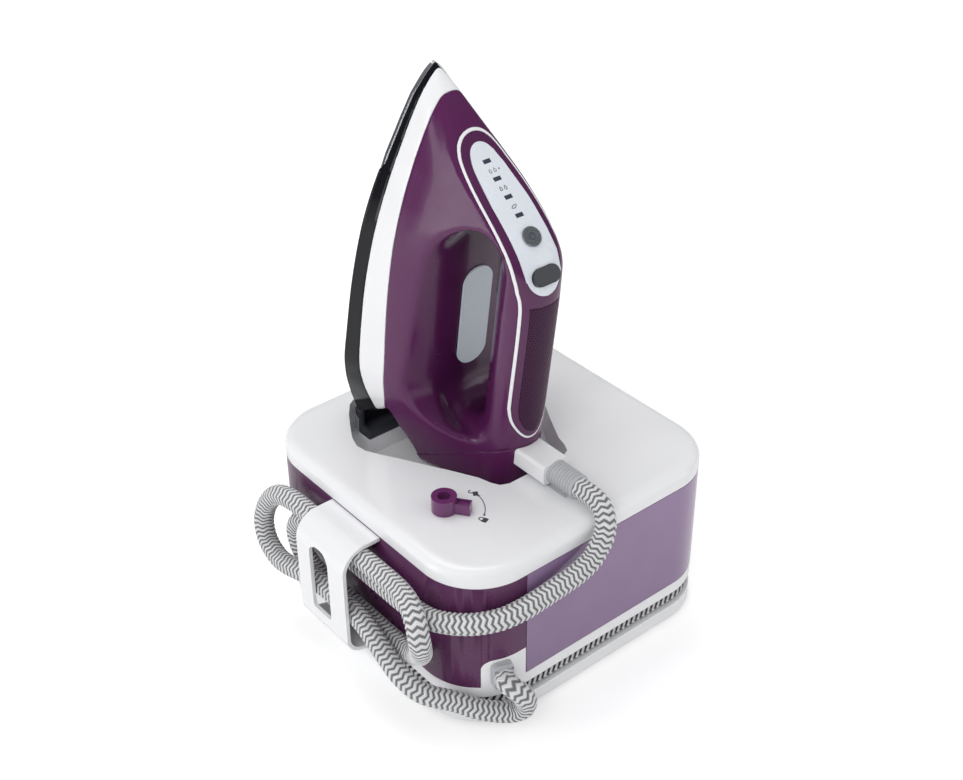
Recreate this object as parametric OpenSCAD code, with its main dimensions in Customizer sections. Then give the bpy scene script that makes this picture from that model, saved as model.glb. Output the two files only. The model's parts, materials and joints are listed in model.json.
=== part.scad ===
// Steam generator iron: a station with a water tank and a boiler, and an
// iron that parks upright in a pocket of the station's cover.
// Millimetres, +Z up. The hose leaves the front, -Y, and the plug parks at the
// back, +Y. The origin is the centre of the bounding box's floor.

/* [Station] */
// Side of the square footprint
base_side = 218; // [214:1:222]
// Radius of the footprint's corners
corner_r = 41; // [38:1:44]
// Height of the rubber feet under the tray
foot_h = 2; // [1.5:0.5:2]
// Wall thickness of the moulded shells
wall = 2.6; // [2.2:0.1:2.8]

/* [Iron] */
// Lean of the parked iron from upright, degrees
lean = 8; // [7.5:0.5:8.5]
// Wall thickness of the iron's shells
iwall = 2.2; // [1.8:0.1:2.4]
// Thickness of the soleplate
sole_t = 3; // [2.6:0.1:3.1]

/* [Hose and cord] */
// Outside radius of the textile steam hose
hose_r = 6.9; // [6.5:0.1:6.9]
// Outside radius of the mains cord
cord_r = 4.8; // [4.2:0.1:5.0]

/* [Hidden] */
$fn = 48;

half = base_side / 2;
corner_c = half - corner_r;   // corner centres, from the middle
joint = 0.1;                  // gap between stacked shells
z_tray = foot_h;              // underside of the tray
z_lip = 12;                   // floor of the cord groove
z_groove = 23.4;              // roof of the cord groove
z_rim = 31.6;                 // tray's upper edge
z_wall = 112;                 // housing's upper edge
z_lid = 124;                  // flat top of the cover
z_pocket = 100;               // pocket floor
tip_y = 52.6;                 // iron's tip when parked
tip_z = 369;
heel_z = 102;                 // underside of the parked heel
hose_z = 133;                 // hose axis where it meets the parked iron

// ---------- general shapes ----------
module box(at, size) {
  translate(at) cube(size);
}
module rod_x(at, h, r) {
  translate(at) rotate([0, 90, 0]) cylinder(h = h, r = r);
}
module rod_y(at, h, r) {
  translate(at) rotate([-90, 0, 0]) cylinder(h = h, r = r);
}
module rod_z(at, h, r) {
  translate(at) cylinder(h = h, r = r);
}
module rounded_square(side, radius) {
  square([side - 2 * radius, side], center = true);
  square([side, side - 2 * radius], center = true);
  for (i = [-1, 1], j = [-1, 1])
    translate([i * (side / 2 - radius), j * (side / 2 - radius)]) circle(radius, $fn = 96);
}
module slab(width, depth, radius) {
  translate([-width / 2 + radius, -depth / 2]) square([width - 2 * radius, depth]);
  translate([-width / 2, -depth / 2 + radius]) square([width, depth - 2 * radius]);
  for (i = [-1, 1], j = [-1, 1])
    translate([i * (width / 2 - radius), j * (depth / 2 - radius)]) circle(radius);
}
// one side's points, then the same mirrored in x and in reverse order
function mirrored(pts, skip_first = 0, skip_last = 0) = concat(pts,
  [for (i = [len(pts) - 1 - skip_last : -1 : skip_first]) [-pts[i][0], pts[i][1]]]);
// closed rings of equal length, joined and capped
module skin(rings) {
  sides = len(rings[0]);
  last = len(rings) - 1;
  polyhedron(
    points = [for (ring = rings) each ring],
    faces = concat(
      [[for (i = [0 : sides - 1]) i]],
      [[for (i = [sides - 1 : -1 : 0]) last * sides + i]],
      [for (k = [0 : last - 1]) for (i = [0 : sides - 1])
        let (j = (i + 1) % sides, low = k * sides, high = low + sides)
        each [[low + i, high + j, low + j], [low + i, high + i, high + j]]]),
    convexity = 8);
}
// Catmull-Rom curve through control points
function spline(before, start, end, after, t) = 0.5 * ((2 * start) + (end - before) * t
  + (2 * before - 5 * start + 4 * end - after) * t * t
  + (3 * start - before - 3 * end + after) * t * t * t);
function curve(pts, steps = 2) = let (last = len(pts) - 1) concat(
  [for (i = [0 : last - 1]) for (j = [0 : steps - 1])
    spline(pts[max(i - 1, 0)], pts[i], pts[i + 1], pts[min(i + 2, last)], j / steps)],
  [pts[last]]);
// rings round a path, their first direction carried along without twist
function unit(v) = v / norm(v);
function tangent(path, i) = unit(path[min(i + 1, len(path) - 1)] - path[max(i - 1, 0)]);
function carry(normal, along) = unit(normal - (normal * along) * along);
function frames(path, normal, i = 0) = i >= len(path) ? [] :
  let (next = carry(normal, tangent(path, i))) concat([next], frames(path, next, i + 1));
function tube_rings(path, radius, sides, normal = [0, 0, 1]) =
  let (normals = frames(path, normal))
  [for (i = [0 : len(path) - 1])
    let (across = normals[i], up = cross(tangent(path, i), across))
    [for (k = [0 : sides - 1])
      path[i] + radius * (cos(360 * k / sides) * across + sin(360 * k / sides) * up)]];
module pipe(pts, radius, normal = [0, 0, 1]) {
  skin(tube_rings(curve(pts), radius, 10, normal));
}
function arc(centre, radius, from, to, steps, z) = [for (i = [0 : steps])
  let (a = from + (to - from) * i / steps)
  [centre[0] + radius * cos(a), centre[1] + radius * sin(a), z]];
// coil spring of four turns along +Z
module spring(radius, height, wire_r) {
  turns = 4;
  steps = 10;
  path = [for (i = [0 : turns * steps])
    [radius * cos(360 * i / steps), radius * sin(360 * i / steps), height * i / (turns * steps)]];
  skin(tube_rings(path, wire_r, 6, [1, 0, 0]));
}
// disc with two terminals
module thermostat(tab_h) {
  cylinder(h = 7, r = 8);
  for (i = [-1, 1]) box([i * 3 - 0.4, -2, 7], [0.8, 4, tab_h]);
}

// ---------- station shells ----------
module footprint(inset = 0) {
  rounded_square(base_side - 2 * inset, corner_r - inset);
}
// L-shaped plan of the tank's bay, grown by grow; it runs past the footprint
bay_left = -63;      // left end of the front arm
bay_arm_y = -70;     // back of the front arm
bay_step_x = 50;     // left side of the right arm
bay_back = -12;      // back of the right arm
tank_gap = 0.6;
module bay(grow) {
  translate([bay_left - grow, -half - 20])
    square([half - bay_left + 40 + grow, half + 20 + bay_arm_y + grow]);
  translate([bay_step_x - grow, -half - 20]) square([half + 20, half + 20 + bay_back + grow]);
}
module tank_plan(inset) {
  intersection() {
    footprint(inset);
    bay(-tank_gap - inset);
  }
}
// raised surround of the hose outlet, seen along Y
surround_x = -92.4;
surround_r = 7;
surround_bend_z = 46.5;
module surround_view(grow) {
  bend_x = surround_x + surround_r;
  translate([surround_x - grow, 20]) square([bay_left - surround_x + grow, surround_bend_z - 20]);
  translate([bend_x, 20]) square([bay_left - bend_x, 33.5 + grow]);
  translate([bend_x, surround_bend_z]) circle(surround_r + grow);
}
// extrudes a front view through the front wall
module through_front() {
  translate([0, -80, 0]) rotate([90, 0, 0]) linear_extrude(40) children();
}
module surround() {
  intersection() {
    linear_extrude(70) difference() {
      footprint();
      footprint(4.2);
    }
    through_front() surround_view(0);
  }
}
// frame of the hose outlet, X pointing out of it
module at_outlet() {
  translate([-81, -107, 42]) rotate([0, 0, -107.8]) children();
}
module outlet(grow, from, to) {
  at_outlet() translate([from, 0, 0]) rotate([90, 0, 90])
    linear_extrude(to - from) slab(13.5 + 2 * grow, 19 + 2 * grow, 4);
}
// screw posts: x, y, direction of the rib to the wall, its length
posts = [[-83.6, 83.6, 135, 13.4], [83.6, 83.6, 45, 13.4], [-83.6, -60, 180, 20.2],
  [30, -54, -90, 11.4]];
module at_posts(z) {
  for (post = posts) translate([post[0], post[1], z]) children();
}
foot_at = 76;
module at_feet() {
  for (i = [-1, 1], j = [-1, 1]) translate([i * foot_at, j * foot_at, 0]) children();
}
// recess for the plug at the back
module plug_bay(grow) {
  box([-8 - grow, 67 - grow, 8 - grow], [74 + 2 * grow, 60, 42 + 2 * grow]);
}

module base_tray() color("white") difference() {
  cavity_inset = 13.5;
  union() {
    difference() {
      translate([0, 0, z_tray]) linear_extrude(z_rim - z_tray) footprint();
      translate([0, 0, z_tray + 3]) linear_extrude(23.6) footprint(cavity_inset);
      translate([0, 0, 20]) linear_extrude(30) difference() {
        footprint(cavity_inset);
        bay(0);
      }
    }
    surround();
    at_posts(z_tray + 2) cylinder(h = z_rim - z_tray - 2, r = 5.5);
    // walls of the plug's recess
    intersection() {
      plug_bay(2.5);
      translate([0, 0, z_tray + 1]) linear_extrude(80) difference() {
        rounded_square(base_side - 0.2, corner_r);
        translate([-200, -200]) square([400, 200]);
      }
    }
  }
  // cord groove all round
  translate([0, 0, z_lip]) linear_extrude(z_groove - z_lip) difference() {
    footprint(-1);
    footprint(11);
  }
  plug_bay(0);
  outlet(0.15, -20, 20);
  // way in for the cord
  box([-37, 90, z_lip], [23, 12, z_groove - z_lip]);
  at_posts(0) {
    cylinder(h = 60, r = 2.1);
    cylinder(h = 12, r = 4.2);
  }
  at_feet() cylinder(h = z_tray + 1.1, r = 9.1);
  // slots in the floor
  for (i = [-2 : 2]) box([i * 12 - 2, -20, 0], [3, 50, 10]);
}
module rubber_feet() color("dimgray") at_feet() cylinder(h = z_tray + 1, r = 9);
module base_screws() color("silver") at_posts(8.9) difference() {
  union() {
    cylinder(h = 3, r = 3.8);
    cylinder(h = 36, r = 1.55);
  }
  // cross slot
  box([-0.5, -2.2, -0.1], [1, 4.4, 1.2]);
  box([-2.2, -0.5, -0.1], [4.4, 1, 1.2]);
}
module side_housing() color([0.42, 0.2, 0.41]) difference() {
  post_h = 24;
  union() {
    translate([0, 0, z_rim + joint]) linear_extrude(z_wall - z_rim - joint) difference() {
      difference() {
        footprint();
        bay(0);
      }
      difference() {
        footprint(wall);
        bay(wall);
      }
    }
    for (post = posts) translate([post[0], post[1], z_rim + joint]) {
      cylinder(h = post_h, r = 4.5);
      rotate([0, 0, post[2]]) box([3.5, -1, 0], [post[3], 2, post_h]);
    }
    // pegs inside the back wall
    for (i = [-1, 1], z = [64, 90])
      translate([30 + i * 34, half - 1, z]) rotate([90, 0, 0]) cylinder(h = 10.9, r = 3.2);
  }
  through_front() {
    surround_view(0.15);
    translate([bay_left - 0.2, 20]) square([0.3, 33.6]);
  }
  difference() {
    plug_bay(2.7);
    box([-200, -200, 0], [400, 300, 200]);
  }
  at_posts(z_rim - 1) cylinder(h = 22, r = 1.6);
  // port for the tank coupling
  rod_x([45, valve_at[1], valve_at[2]], 8, 8.1);
}

// outline of the iron's pocket: y, half width
pocket = [[-46, 23], [-43.5, 28.5], [-38, 31.5], [-29, 34], [-10.6, 43.5], [7.3, 53.6],
  [20, 60.3], [31.7, 67.3], [41, 72], [49, 73.2], [58.7, 70], [70, 63.5], [82, 56], [91, 49],
  [96.5, 40]];
function pocket_outline(grow) = mirrored([for (p = pocket)
  [p[1] + grow, p[0] + (p[0] < -40 ? -grow : (p[0] > 95 ? grow : 0))]]);
// rounding of the cover's edge: inset, z
lid_steps = [[0, z_wall + joint], [0, 118.6], [0.5, 120.4], [1.7, 121.9], [3.6, 123.1],
  [6.2, 123.8], [10, z_lid]];
function lid_ring(inset, z) = [for (q = [0 : 3]) for (j = [0 : 20]) let (a = 90 * q + 4.5 * j)
  [(q == 0 || q == 3 ? corner_c : -corner_c) + (corner_r - inset) * cos(a),
   (q < 2 ? corner_c : -corner_c) + (corner_r - inset) * sin(a), z]];
lock_at = [-71, -40.5, 0];
// right halves of the heel rest's outlines: x, y
rest_outer = [[54, 62], [54, 74], [46, 85], [43, 94]];
rest_hole = [[51.5, 64.5], [51.5, 73.5], [43.4, 84.6], [40.9, 91.5]];
rest_plug = [[51.4, 64.6], [51.4, 73.4], [43.3, 84.5], [40.8, 91.4]];
rest_recess = [[50, 66], [50, 73], [42, 84], [39.5, 90]];
module rest_slab(z, height, outline) {
  translate([0, 0, z]) linear_extrude(height) polygon(mirrored(outline));
}

module top_cover() color("white") {
  // raised ledge round the rest insert
  translate([0, 0, z_pocket - 1]) linear_extrude(13) difference() {
    polygon(mirrored(rest_outer));
    polygon(mirrored(rest_hole));
  }
  difference() {
    union() {
      difference() {
        skin([for (step = lid_steps) lid_ring(step[0], step[1])]);
        translate([0, 0, z_wall - 1]) linear_extrude(z_lid - 3 - z_wall + 1) footprint(wall);
      }
      // walls and floor of the pocket
      translate([0, 0, z_pocket - 2.5]) linear_extrude(z_lid - 2 - z_pocket + 2.5)
        polygon(pocket_outline(2.5));
      // ribs either side of the latch
      for (y = [-42.5, -25.7]) box([-56.5, y, 105], [12.5, 2, 17]);
    }
    translate([0, 0, z_pocket]) linear_extrude(60) polygon(pocket_outline(0));
    // shallow channel under the iron's hose sleeve
    rod_y([0, -80, z_lid + 12], 40, 13.6);
    rod_z(lock_at + [0, 0, 110], 20, 4.06);
    // slot for the latch
    box([-60, -39.3, 107.7], [34, 12.6, 5]);
  }
}
module rest_insert() color([0.12, 0.12, 0.15]) difference() {
  union() {
    rest_slab(z_pocket + 12.1, 5.9, rest_outer);
    rest_slab(z_pocket + 0.1, 13, rest_plug);
  }
  rest_slab(z_pocket + 4, 30, rest_recess);
}
module rest_pads() color([0.3, 0.3, 0.32])
  for (i = [-1, 1])
    translate([i * 18, 8, z_pocket + 0.05]) linear_extrude(1.8) slab(12, 54, 5);

// ---------- water tank ----------
valve_at = [50.6, -40, 46];   // outlet in the tank's left wall, axis along X
flap_y = -42;                 // middle of the filler flap
flap_w = 39.2;
hinge_x = half - 2;
hinge_z = 65;
filler_z = 82;                // middle of the filler hole

module water_tank() color([0.55, 0.45, 0.66, 0.75]) difference() {
  union() {
    difference() {
      translate([0, 0, z_rim + 0.4]) linear_extrude(79.6) tank_plan(0);
      translate([0, 0, z_rim + 3]) linear_extrude(74.4) tank_plan(2.2);
    }
    // filler block behind the flap
    box([half - 12, flap_y - 24, 58], [11, 48, 44]);
    // outlet boss and the valve's cage
    rod_x(valve_at, 18.4, 10);
    for (i = [-1, 1]) box(valve_at + [16, i * 8 - 1, -3], [21, 2, 6]);
    box(valve_at + [35, -9, -3], [2, 18, 6]);
  }
  rod_x([half - 14, flap_y, filler_z], 20, 13);
  // seat of the flap and its hinge pin
  box([half - 2.6, flap_y - 20, 64], [10, 40, 36]);
  box([half - 4.2, flap_y - 20, 62.6], [10, 40, 4.4]);
  rod_y([hinge_x, flap_y - 22.5, hinge_z], 45, 1.06);
  rod_y([hinge_x, flap_y - 20, hinge_z], 40, 2.3);
  // bore of the outlet
  rod_x(valve_at + [-1, 0, 0], 11.4, 6.04);
  rod_x(valve_at, 25, 3.4);
}
module filler_flap() color([0.6, 0.5, 0.7]) {
  box([half - 2.2, flap_y - flap_w / 2, 66], [2.1, flap_w, 33.2]);
  rod_y([hinge_x, flap_y - flap_w / 2, hinge_z], flap_w, 1.85);
  rod_y([hinge_x, flap_y - 22.3, hinge_z], 44.6, 1);
  rod_x([half - 4.4, flap_y, filler_z], 2.4, 11.6);
}
module tank_valve() color("silver") {
  rod_x(valve_at + [9, 0, 0], 13, 2.4);
  rod_x(valve_at + [19.2, 0, 0], 2, 5.5);
}
module tank_valve_spring() color("silver")
  translate(valve_at + [21.9, 0, 0]) rotate([0, 90, 0]) spring(3.4, 12.2, 0.45);
module tank_coupling() color("white")
  translate([0, valve_at[1], valve_at[2]]) rotate([0, 90, 0]) difference() {
    // Z here is the station's X
    translate([0, 0, 45.2]) {
      cylinder(h = 2.1, r = 11);
      cylinder(h = 4.9, r = 8);
      cylinder(h = 14, r = 5.2);
      rod_z([0, 0, -8], 9, 4.5);
    }
    rod_z([0, 0, 36], 25, 2);
    // groove for the seal
    translate([0, 0, 53.2]) difference() {
      cylinder(h = 2.4, r = 8);
      cylinder(h = 2.4, r = 4.2);
    }
  }
module tank_seal() color([0.2, 0.2, 0.2])
  translate([54.4, valve_at[1], valve_at[2]]) rotate([0, 90, 0])
    rotate_extrude() translate([5.1, 0]) circle(0.84, $fn = 24);

// ---------- lock ----------
module lock_knob() color([0.45, 0.2, 0.45]) translate(lock_at) difference() {
  union() {
    rod_z([0, 0, z_lid + 0.3], 10.7, 8.1);
    // grooved lever
    rotate([0, 0, 37]) translate([-3.3, -17, z_lid + 0.5]) difference() {
      cube([6.6, 12, 7.5]);
      box([1, 1, 6.2], [4.6, 30, 4]);
    }
    rod_z([0, 0, 118], 7, 4);
    rod_z([0, 0, 117.8], 3, 9.6);
    // off-centre pin that enters the latch
    rod_z([4, 6.93, 108.2], 10, 2);
  }
  rod_z([0, 0, z_lid + 6], 8, 4.2);
}
module lock_latch() color([0.8, 0.8, 0.8]) difference() {
  box([-74.6, -38.5, 108.4], [50, 11, 3.6]);
  box(lock_at + [4 - 2.3, 7.47 - 2.9, 100], [4.6, 5.8, 20]);
}

// ---------- hose and its clip ----------
clip_reach = 138;     // clip's outer face, left of the middle
clip_top = 111.4;
clip_in = -109.05;    // face against the housing
// clip seen along Y
module clip_view(inset, top_r, low_r) {
  hull() {
    translate([-clip_reach + inset + top_r, clip_top - inset - top_r]) circle(top_r, $fn = 64);
    translate([-clip_reach + inset + low_r, 29 + inset + low_r]) circle(low_r, $fn = 64);
    translate([clip_in + inset, clip_top - inset - 1]) square([1, 1]);
    translate([clip_in + inset, 24 + inset]) square([1, 1]);
  }
}
module hose_clip() color("white") difference() {
  intersection() {
    translate([0, 27, 0]) rotate([90, 0, 0]) linear_extrude(51) difference() {
      intersection() {
        clip_view(0, 17, 13);
        translate([-150, 0]) square([150 + clip_in, 200]);
      }
      clip_view(2.5, 14.6, 10.6);
    }
    translate([-150, 1.5, 68]) rotate([90, 0, 90]) linear_extrude(60) slab(51, 100, 9);
  }
  // openings in the outer face
  translate([-150, 3, 73.5]) rotate([90, 0, 90]) linear_extrude(26) {
    translate([0, -6]) slab(20, 40, 3);
    translate([0, 14]) slab(20, 24, 8);
  }
}
// point round the front left corner, by angle from -Y towards -X
hose_corner = -68;
function polar(radius, angle, z) =
  [hose_corner - radius * sin(angle), hose_corner - radius * cos(angle), z];
// hose axis, from the iron through the clip's coils to the outlet
hose_path = [
  [0, -86.3, 133], [0, -90, 133], [0, -98, 132.9], [-1, -107, 131], [-4, -113.8, 126],
  [-8, -117.2, 118.8], [-13, -118.2, 112.5], [-20, -118.8, 106], [-32, -118.5, 101.3],
  [-46, -117.6, 98.5], [-60, -117, 96.5], polar(48.6, 5, 95.3), polar(48.6, 22, 93.5),
  polar(48.6, 40, 91.8), polar(48.6, 58, 90), polar(48.6, 76, 88), [-116.6, -62, 86.8],
  [-116.6, -35, 86.3], [-116.6, -5, 86], [-116.6, 25, 86], [-116.8, 46, 84.5],
  [-117.3, 57, 78], [-117.4, 61, 68], [-117.3, 57, 56], [-116.9, 46, 47.8],
  [-116.6, 30, 45.6], [-116.6, 5, 45.5], [-116.6, -22, 45.5], [-116.6, -45, 45.7],
  [-117.2, -60, 48], [-118.6, -71, 53.8], [-122, -80, 63], [-126.6, -86.5, 74.5],
  [-129.2, -88.5, 86], [-128, -84, 95.5], [-124.4, -73, 100.3], [-121.8, -57, 100.8],
  [-121.6, -30, 100.8], [-121.6, 0, 100.8], [-121.6, 30, 100.8], [-121.8, 55, 100],
  [-122.5, 72, 94.5], [-124.4, 83, 82], [-126.8, 86.5, 67], [-129, 80, 54.5],
  [-130.6, 66, 50], [-130.9, 52, 51.6], [-129.8, 40, 54.3], [-128.3, 29, 56.3],
  [-127.9, 14, 57.2], [-127.9, -8, 57.4], [-128.2, -26, 57], [-129.8, -42, 54],
  [-130.9, -57, 48.5], [-130.4, -71, 42], [-124.5, -84, 34.5], polar(50.5, 56, 27.8),
  polar(49, 40, 21.8), polar(49.4, 25, 17.8), [-81, -118.2, 16.8], [-76.6, -122.8, 21],
  [-76.4, -125.2, 28.5], [-79.6, -124.9, 36], [-83.2, -121, 40.8], [-84, -116.3, 42],
  [-83.22, -113.91, 42], [-82.46, -111.53, 42]];
hose_rings = tube_rings(curve(hose_path), hose_r, 12);
module steam_hose() color([0.7, 0.7, 0.72]) skin(hose_rings);
module hose_outlet_cuff() color([0.72, 0.73, 0.74]) difference() {
  outlet(0, -7, 4.6);
  at_outlet() rod_x([-9, 0, 0], 20, 4.2);
}

// ---------- mains cord ----------
cord_z = (z_lip + z_groove) / 2;
cord_inset = 5.5;                    // cord axis inside the footprint
cord_y = half - cord_inset;
cord_bend_r = corner_r - cord_inset;
entry_x = -22;                       // where the cord enters the tray
plug_at = [14, 88, 29];
function cord_corner(x, y, from) = arc([x, y], cord_bend_r, from, from + 90, 9, cord_z);
// from the groove's end into the plug
cord_end = [[65, cord_y, cord_z], [61.5, 103.2, 18.1], [58, 100.5, 20], [55.5, 95.5, 24],
  [53, 90.8, 27.6], [49.8, 88.3, 28.9], [47, 88, 29], [44.7, 88, 29]];
cord_path = concat([[entry_x, 78, cord_z], [entry_x, 90, cord_z]],
  arc([entry_x - 8, cord_y - 8], 8, 0, 90, 5, cord_z),
  cord_corner(-corner_c, corner_c, 90), cord_corner(-corner_c, -corner_c, 180),
  cord_corner(corner_c, -corner_c, 270), cord_corner(corner_c, corner_c, 0),
  curve(cord_end));
module mains_cord() color([0.15, 0.15, 0.15]) skin(tube_rings(cord_path, cord_r, 12));
module cord_bushing() color([0.1, 0.1, 0.1])
  translate([entry_x, 0, cord_z]) rotate([-90, 0, 0]) difference() {
    union() {
      rod_z([0, 0, 80], 9.8, 6.6);
      rod_z([0, 0, 80], 3, 8);
    }
    rod_z([0, 0, 70], 40, cord_r + 0.06);
  }
module mains_plug() color([0.12, 0.12, 0.12]) {
  translate(plug_at) rotate([0, 90, 0]) {
    cylinder(h = 20, r = 18.4);
    translate([0, 0, 20]) cylinder(h = 5, r1 = 18.4, r2 = 12, $fn = 64);
    rod_z([0, 0, 25], 5.5, 7.5);
  }
  for (i = [-1, 1]) rod_x(plug_at + [-19, i * 9.5, 0], 19.2, 2.4);
}

// ---------- boiler and valves ----------
boiler_at = [-50, 26, 0];
boiler_seams = [26, 74];        // heights of the rounded rims
heater_hole = [8, -26];         // heater's leg, mirrored in x
safety_x = 18;                  // safety valve, right of the boiler's axis
module at_lugs() {
  for (a = [20, 140, 260]) rotate([0, 0, a]) children();
}
module boiler_body() color("silver") translate(boiler_at) difference() {
  union() {
    rotate_extrude($fn = 72) difference() {
      union() {
        translate([0, 20]) square([34, 60]);
        translate([0, 26]) square([38, 48]);
        for (z = boiler_seams) translate([34, z]) intersection() {
          circle(5.7, $fn = 32);
          translate([0, -10]) square([4, 20]);
        }
      }
      translate([-1, 22.4]) square([36.6, 54]);
    }
    at_lugs() box([36, -7, 20], [13, 14, 3]);
    at_lugs() rod_z([44, 0, 5.1], 16, 5);
  }
  rod_z([0, 0, 70], 20, 2.6);
  rod_z([safety_x, 0, 70], 20, 4.06);
  rod_x([30, 0, 60], 20, 2.6);
  for (i = [-1, 1]) rod_z([i * heater_hole[0], heater_hole[1], 10], 20, 3.3);
  at_lugs() rod_z([44, 0, 0], 40, 1.7);
}
heater_leg = [[8, -26, 14], [8, -26, 20], [8, -26, 25], [8.6, -25.8, 29.6], [11.2, -24.8, 33],
  [15, -22.7, 34]];
module boiler_heater() color([0.35, 0.35, 0.36]) translate(boiler_at)
  pipe(concat(heater_leg, arc([0, 0], 27.2, -45, 225, 14, 34),
    [for (i = [len(heater_leg) - 1 : -1 : 0])
      [-heater_leg[i][0], heater_leg[i][1], heater_leg[i][2]]]), 3.2, [1, 0, 0]);
module boiler_thermostat() color("tan") translate(boiler_at + [-14, 14, 80.1]) thermostat(5);
module safety_valve() color([0.75, 0.6, 0.3])
  translate(boiler_at + [safety_x, 0, 0]) difference() {
    union() {
      rod_z([0, 0, 77], 4, 4);
      rod_z([0, 0, 80.1], 4, 7, $fn = 6);
      rod_z([0, 0, 84], 9, 4.6);
    }
    rod_z([0, 0, 70], 18, 1.5);
  }
solenoid_at = [-78, -40, 0];
module solenoid_valve() color([0.6, 0.6, 0.2]) {
  translate(solenoid_at + [-9, -9, 52]) difference() {
    cube([18, 18, 12]);
    translate([9, 20, 6]) rotate([90, 0, 0]) cylinder(h = 12, r = 2.6);
    rod_z([9, 9, -1], 8, 2.6);
  }
  box(solenoid_at + [-11, -8, 64], [22, 16, 24]);
  rod_z(solenoid_at + [0, 0, 88], 4, 5);
}

// ---------- pump ----------
// pump's frame, Z along the station's X
pump_at = [-8, 44, 26];
module at_pump() {
  translate(pump_at) rotate([0, 90, 0]) children();
}
module pump_body() color("white") at_pump() difference() {
  union() {
    rod_z([0, 0, 26], 58, 11);
    for (z = [24, 76]) rod_z([0, 0, z], 8, 14);
    for (z = [20, 84]) rod_z([0, 0, z], z == 20 ? 5 : 5, 4);
    for (z = [26, 76]) box([-1, -14, z], [22, 28, 6]);
  }
  rod_z([0, 0, 32], 44, 6.05);
  rod_z([0, 0, 10], 100, 2);
}
module pump_coil() color([0.7, 0.35, 0.1]) at_pump() difference() {
  box([-15, -15, 36], [30, 30, 34]);
  rod_z([0, 0, 30], 50, 11.1);
}
module pump_piston() color("silver") at_pump() difference() {
  rod_z([0, 0, 38], 20, 6);
  rod_z([0, 0, 30], 40, 2);
}
module pump_spring() color("silver") at_pump() translate([0, 0, 59]) spring(4.6, 15.8, 0.6);

// ---------- station's tubes and board ----------
// tank coupling to pump
suction_path = [[37, -40, 46], [34.5, -40, 46], [32, -40, 46], [22, -33, 43], [10, -12, 36],
  [5, 12, 32], [3, 28, 28.5], [4, 38, 26.6], [7, 43, 26], [9.5, 44, 26], [11.8, 44, 26]];
// pump to boiler
pressure_path = [[81.2, 44, 26], [82.6, 44, 26], [84, 44, 26], [87.4, 45, 29], [88.6, 46, 34],
  [88.6, 49, 45], [85, 53, 56], [76, 55, 63], [50, 54, 65], [30, 51, 64], [10, 42, 62],
  [0, 31, 60.5], [-6, 26.4, 60], [-9, 26, 60], [-11.8, 26, 60]];
// boiler to solenoid valve
boiler_steam_path = concat(
  [for (p = [[0, 0, 80.1], [0, 0, 83], [0, 0, 86], [-5, -8, 91], [-14, -24, 91.6]])
    boiler_at + p],
  [for (p = [[3, 25, 87], [0, 17, 76], [0, 15.6, 65], [0, 13.6, 59.4], [0, 11.4, 58],
    [0, 10.2, 58], [0, 9.1, 58]]) solenoid_at + p]);
// solenoid valve to hose outlet
outlet_steam_path = concat(
  [for (p = [[0, 0, 51.9], [0, 0, 50.8], [0, 0, 49.6], [1, -2, 46.5]]) solenoid_at + p],
  [[-74, -50, 43.5], [-72.6, -62, 42.4], [-73.4, -75, 42], [-75.2, -88, 42],
   [-76.35, -92.5, 42], [-77.6, -96.3, 42], [-78.8, -100.1, 42]]);
module suction_tube() color([0.85, 0.85, 0.8]) pipe(suction_path, 3.6);
module pressure_tube() color([0.85, 0.85, 0.8]) pipe(pressure_path, 3.6);
module steam_pipe() color([0.75, 0.75, 0.78]) {
  pipe(boiler_steam_path, 3.2, [1, 0, 0]);
  pipe(outlet_steam_path, 3.2, [1, 0, 0]);
}
module control_board() color([0.1, 0.4, 0.2]) {
  box([-10, 95.5, 57], [80, 1.6, 40]);
  box([0, 82, 62], [18, 13.6, 16]);
  box([24, 85, 80], [14, 10.6, 12]);
  for (i = [0 : 2])
    translate([46 + i * 9, 95.6, 68]) rotate([90, 0, 0]) cylinder(h = 12, r = 3.6);
}

// ---------- iron's body ----------
// In its own frame: x across, y from sole to handle, z from tip to heel.
// Parked, its handle faces the front.
module parked() {
  translate([0, tip_y, tip_z]) rotate([180 + lean, 0, 0]) children();
}
module unparked() {
  rotate([-(180 + lean), 0, 0]) translate([0, -tip_y, -tip_z]) children();
}
// plan (x, z) raised from y0 to y1
module plan(y0, y1) {
  translate([0, y1, 0]) rotate([90, 0, 0]) linear_extrude(y1 - y0) children();
}
// side view (y, z) from x0 to x1
module side(x0, x1) {
  translate([x0, 0, 0]) rotate([90, 0, 90]) linear_extrude(x1 - x0) children();
}

// body at the sole: z, half width
body_w = [[0, 0.8], [1.8, 2.4], [7.5, 7.3], [16.8, 13.8], [30.3, 20.8], [42.3, 26.6],
  [52.6, 31.4], [68.9, 38.4], [86, 44.2], [103, 48.5], [125.7, 52.3], [146.4, 54.7],
  [177.7, 56.9], [198, 58], [211.3, 56.8], [230.8, 52.1], [250, 45.7], [275, 40]];
// ridge line: z, y
ridge = [[0, 3], [1, 5], [3.7, 9], [10.7, 19.3], [17, 28], [25.2, 38.4], [29.6, 43.6],
  [39.7, 56.4], [46, 66.9], [52.4, 78], [58.9, 88.9], [67.2, 101], [76, 111], [86.6, 118],
  [97.4, 121], [110, 122.3], [150, 123], [208, 123.5], [275, 124.5]];
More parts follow.
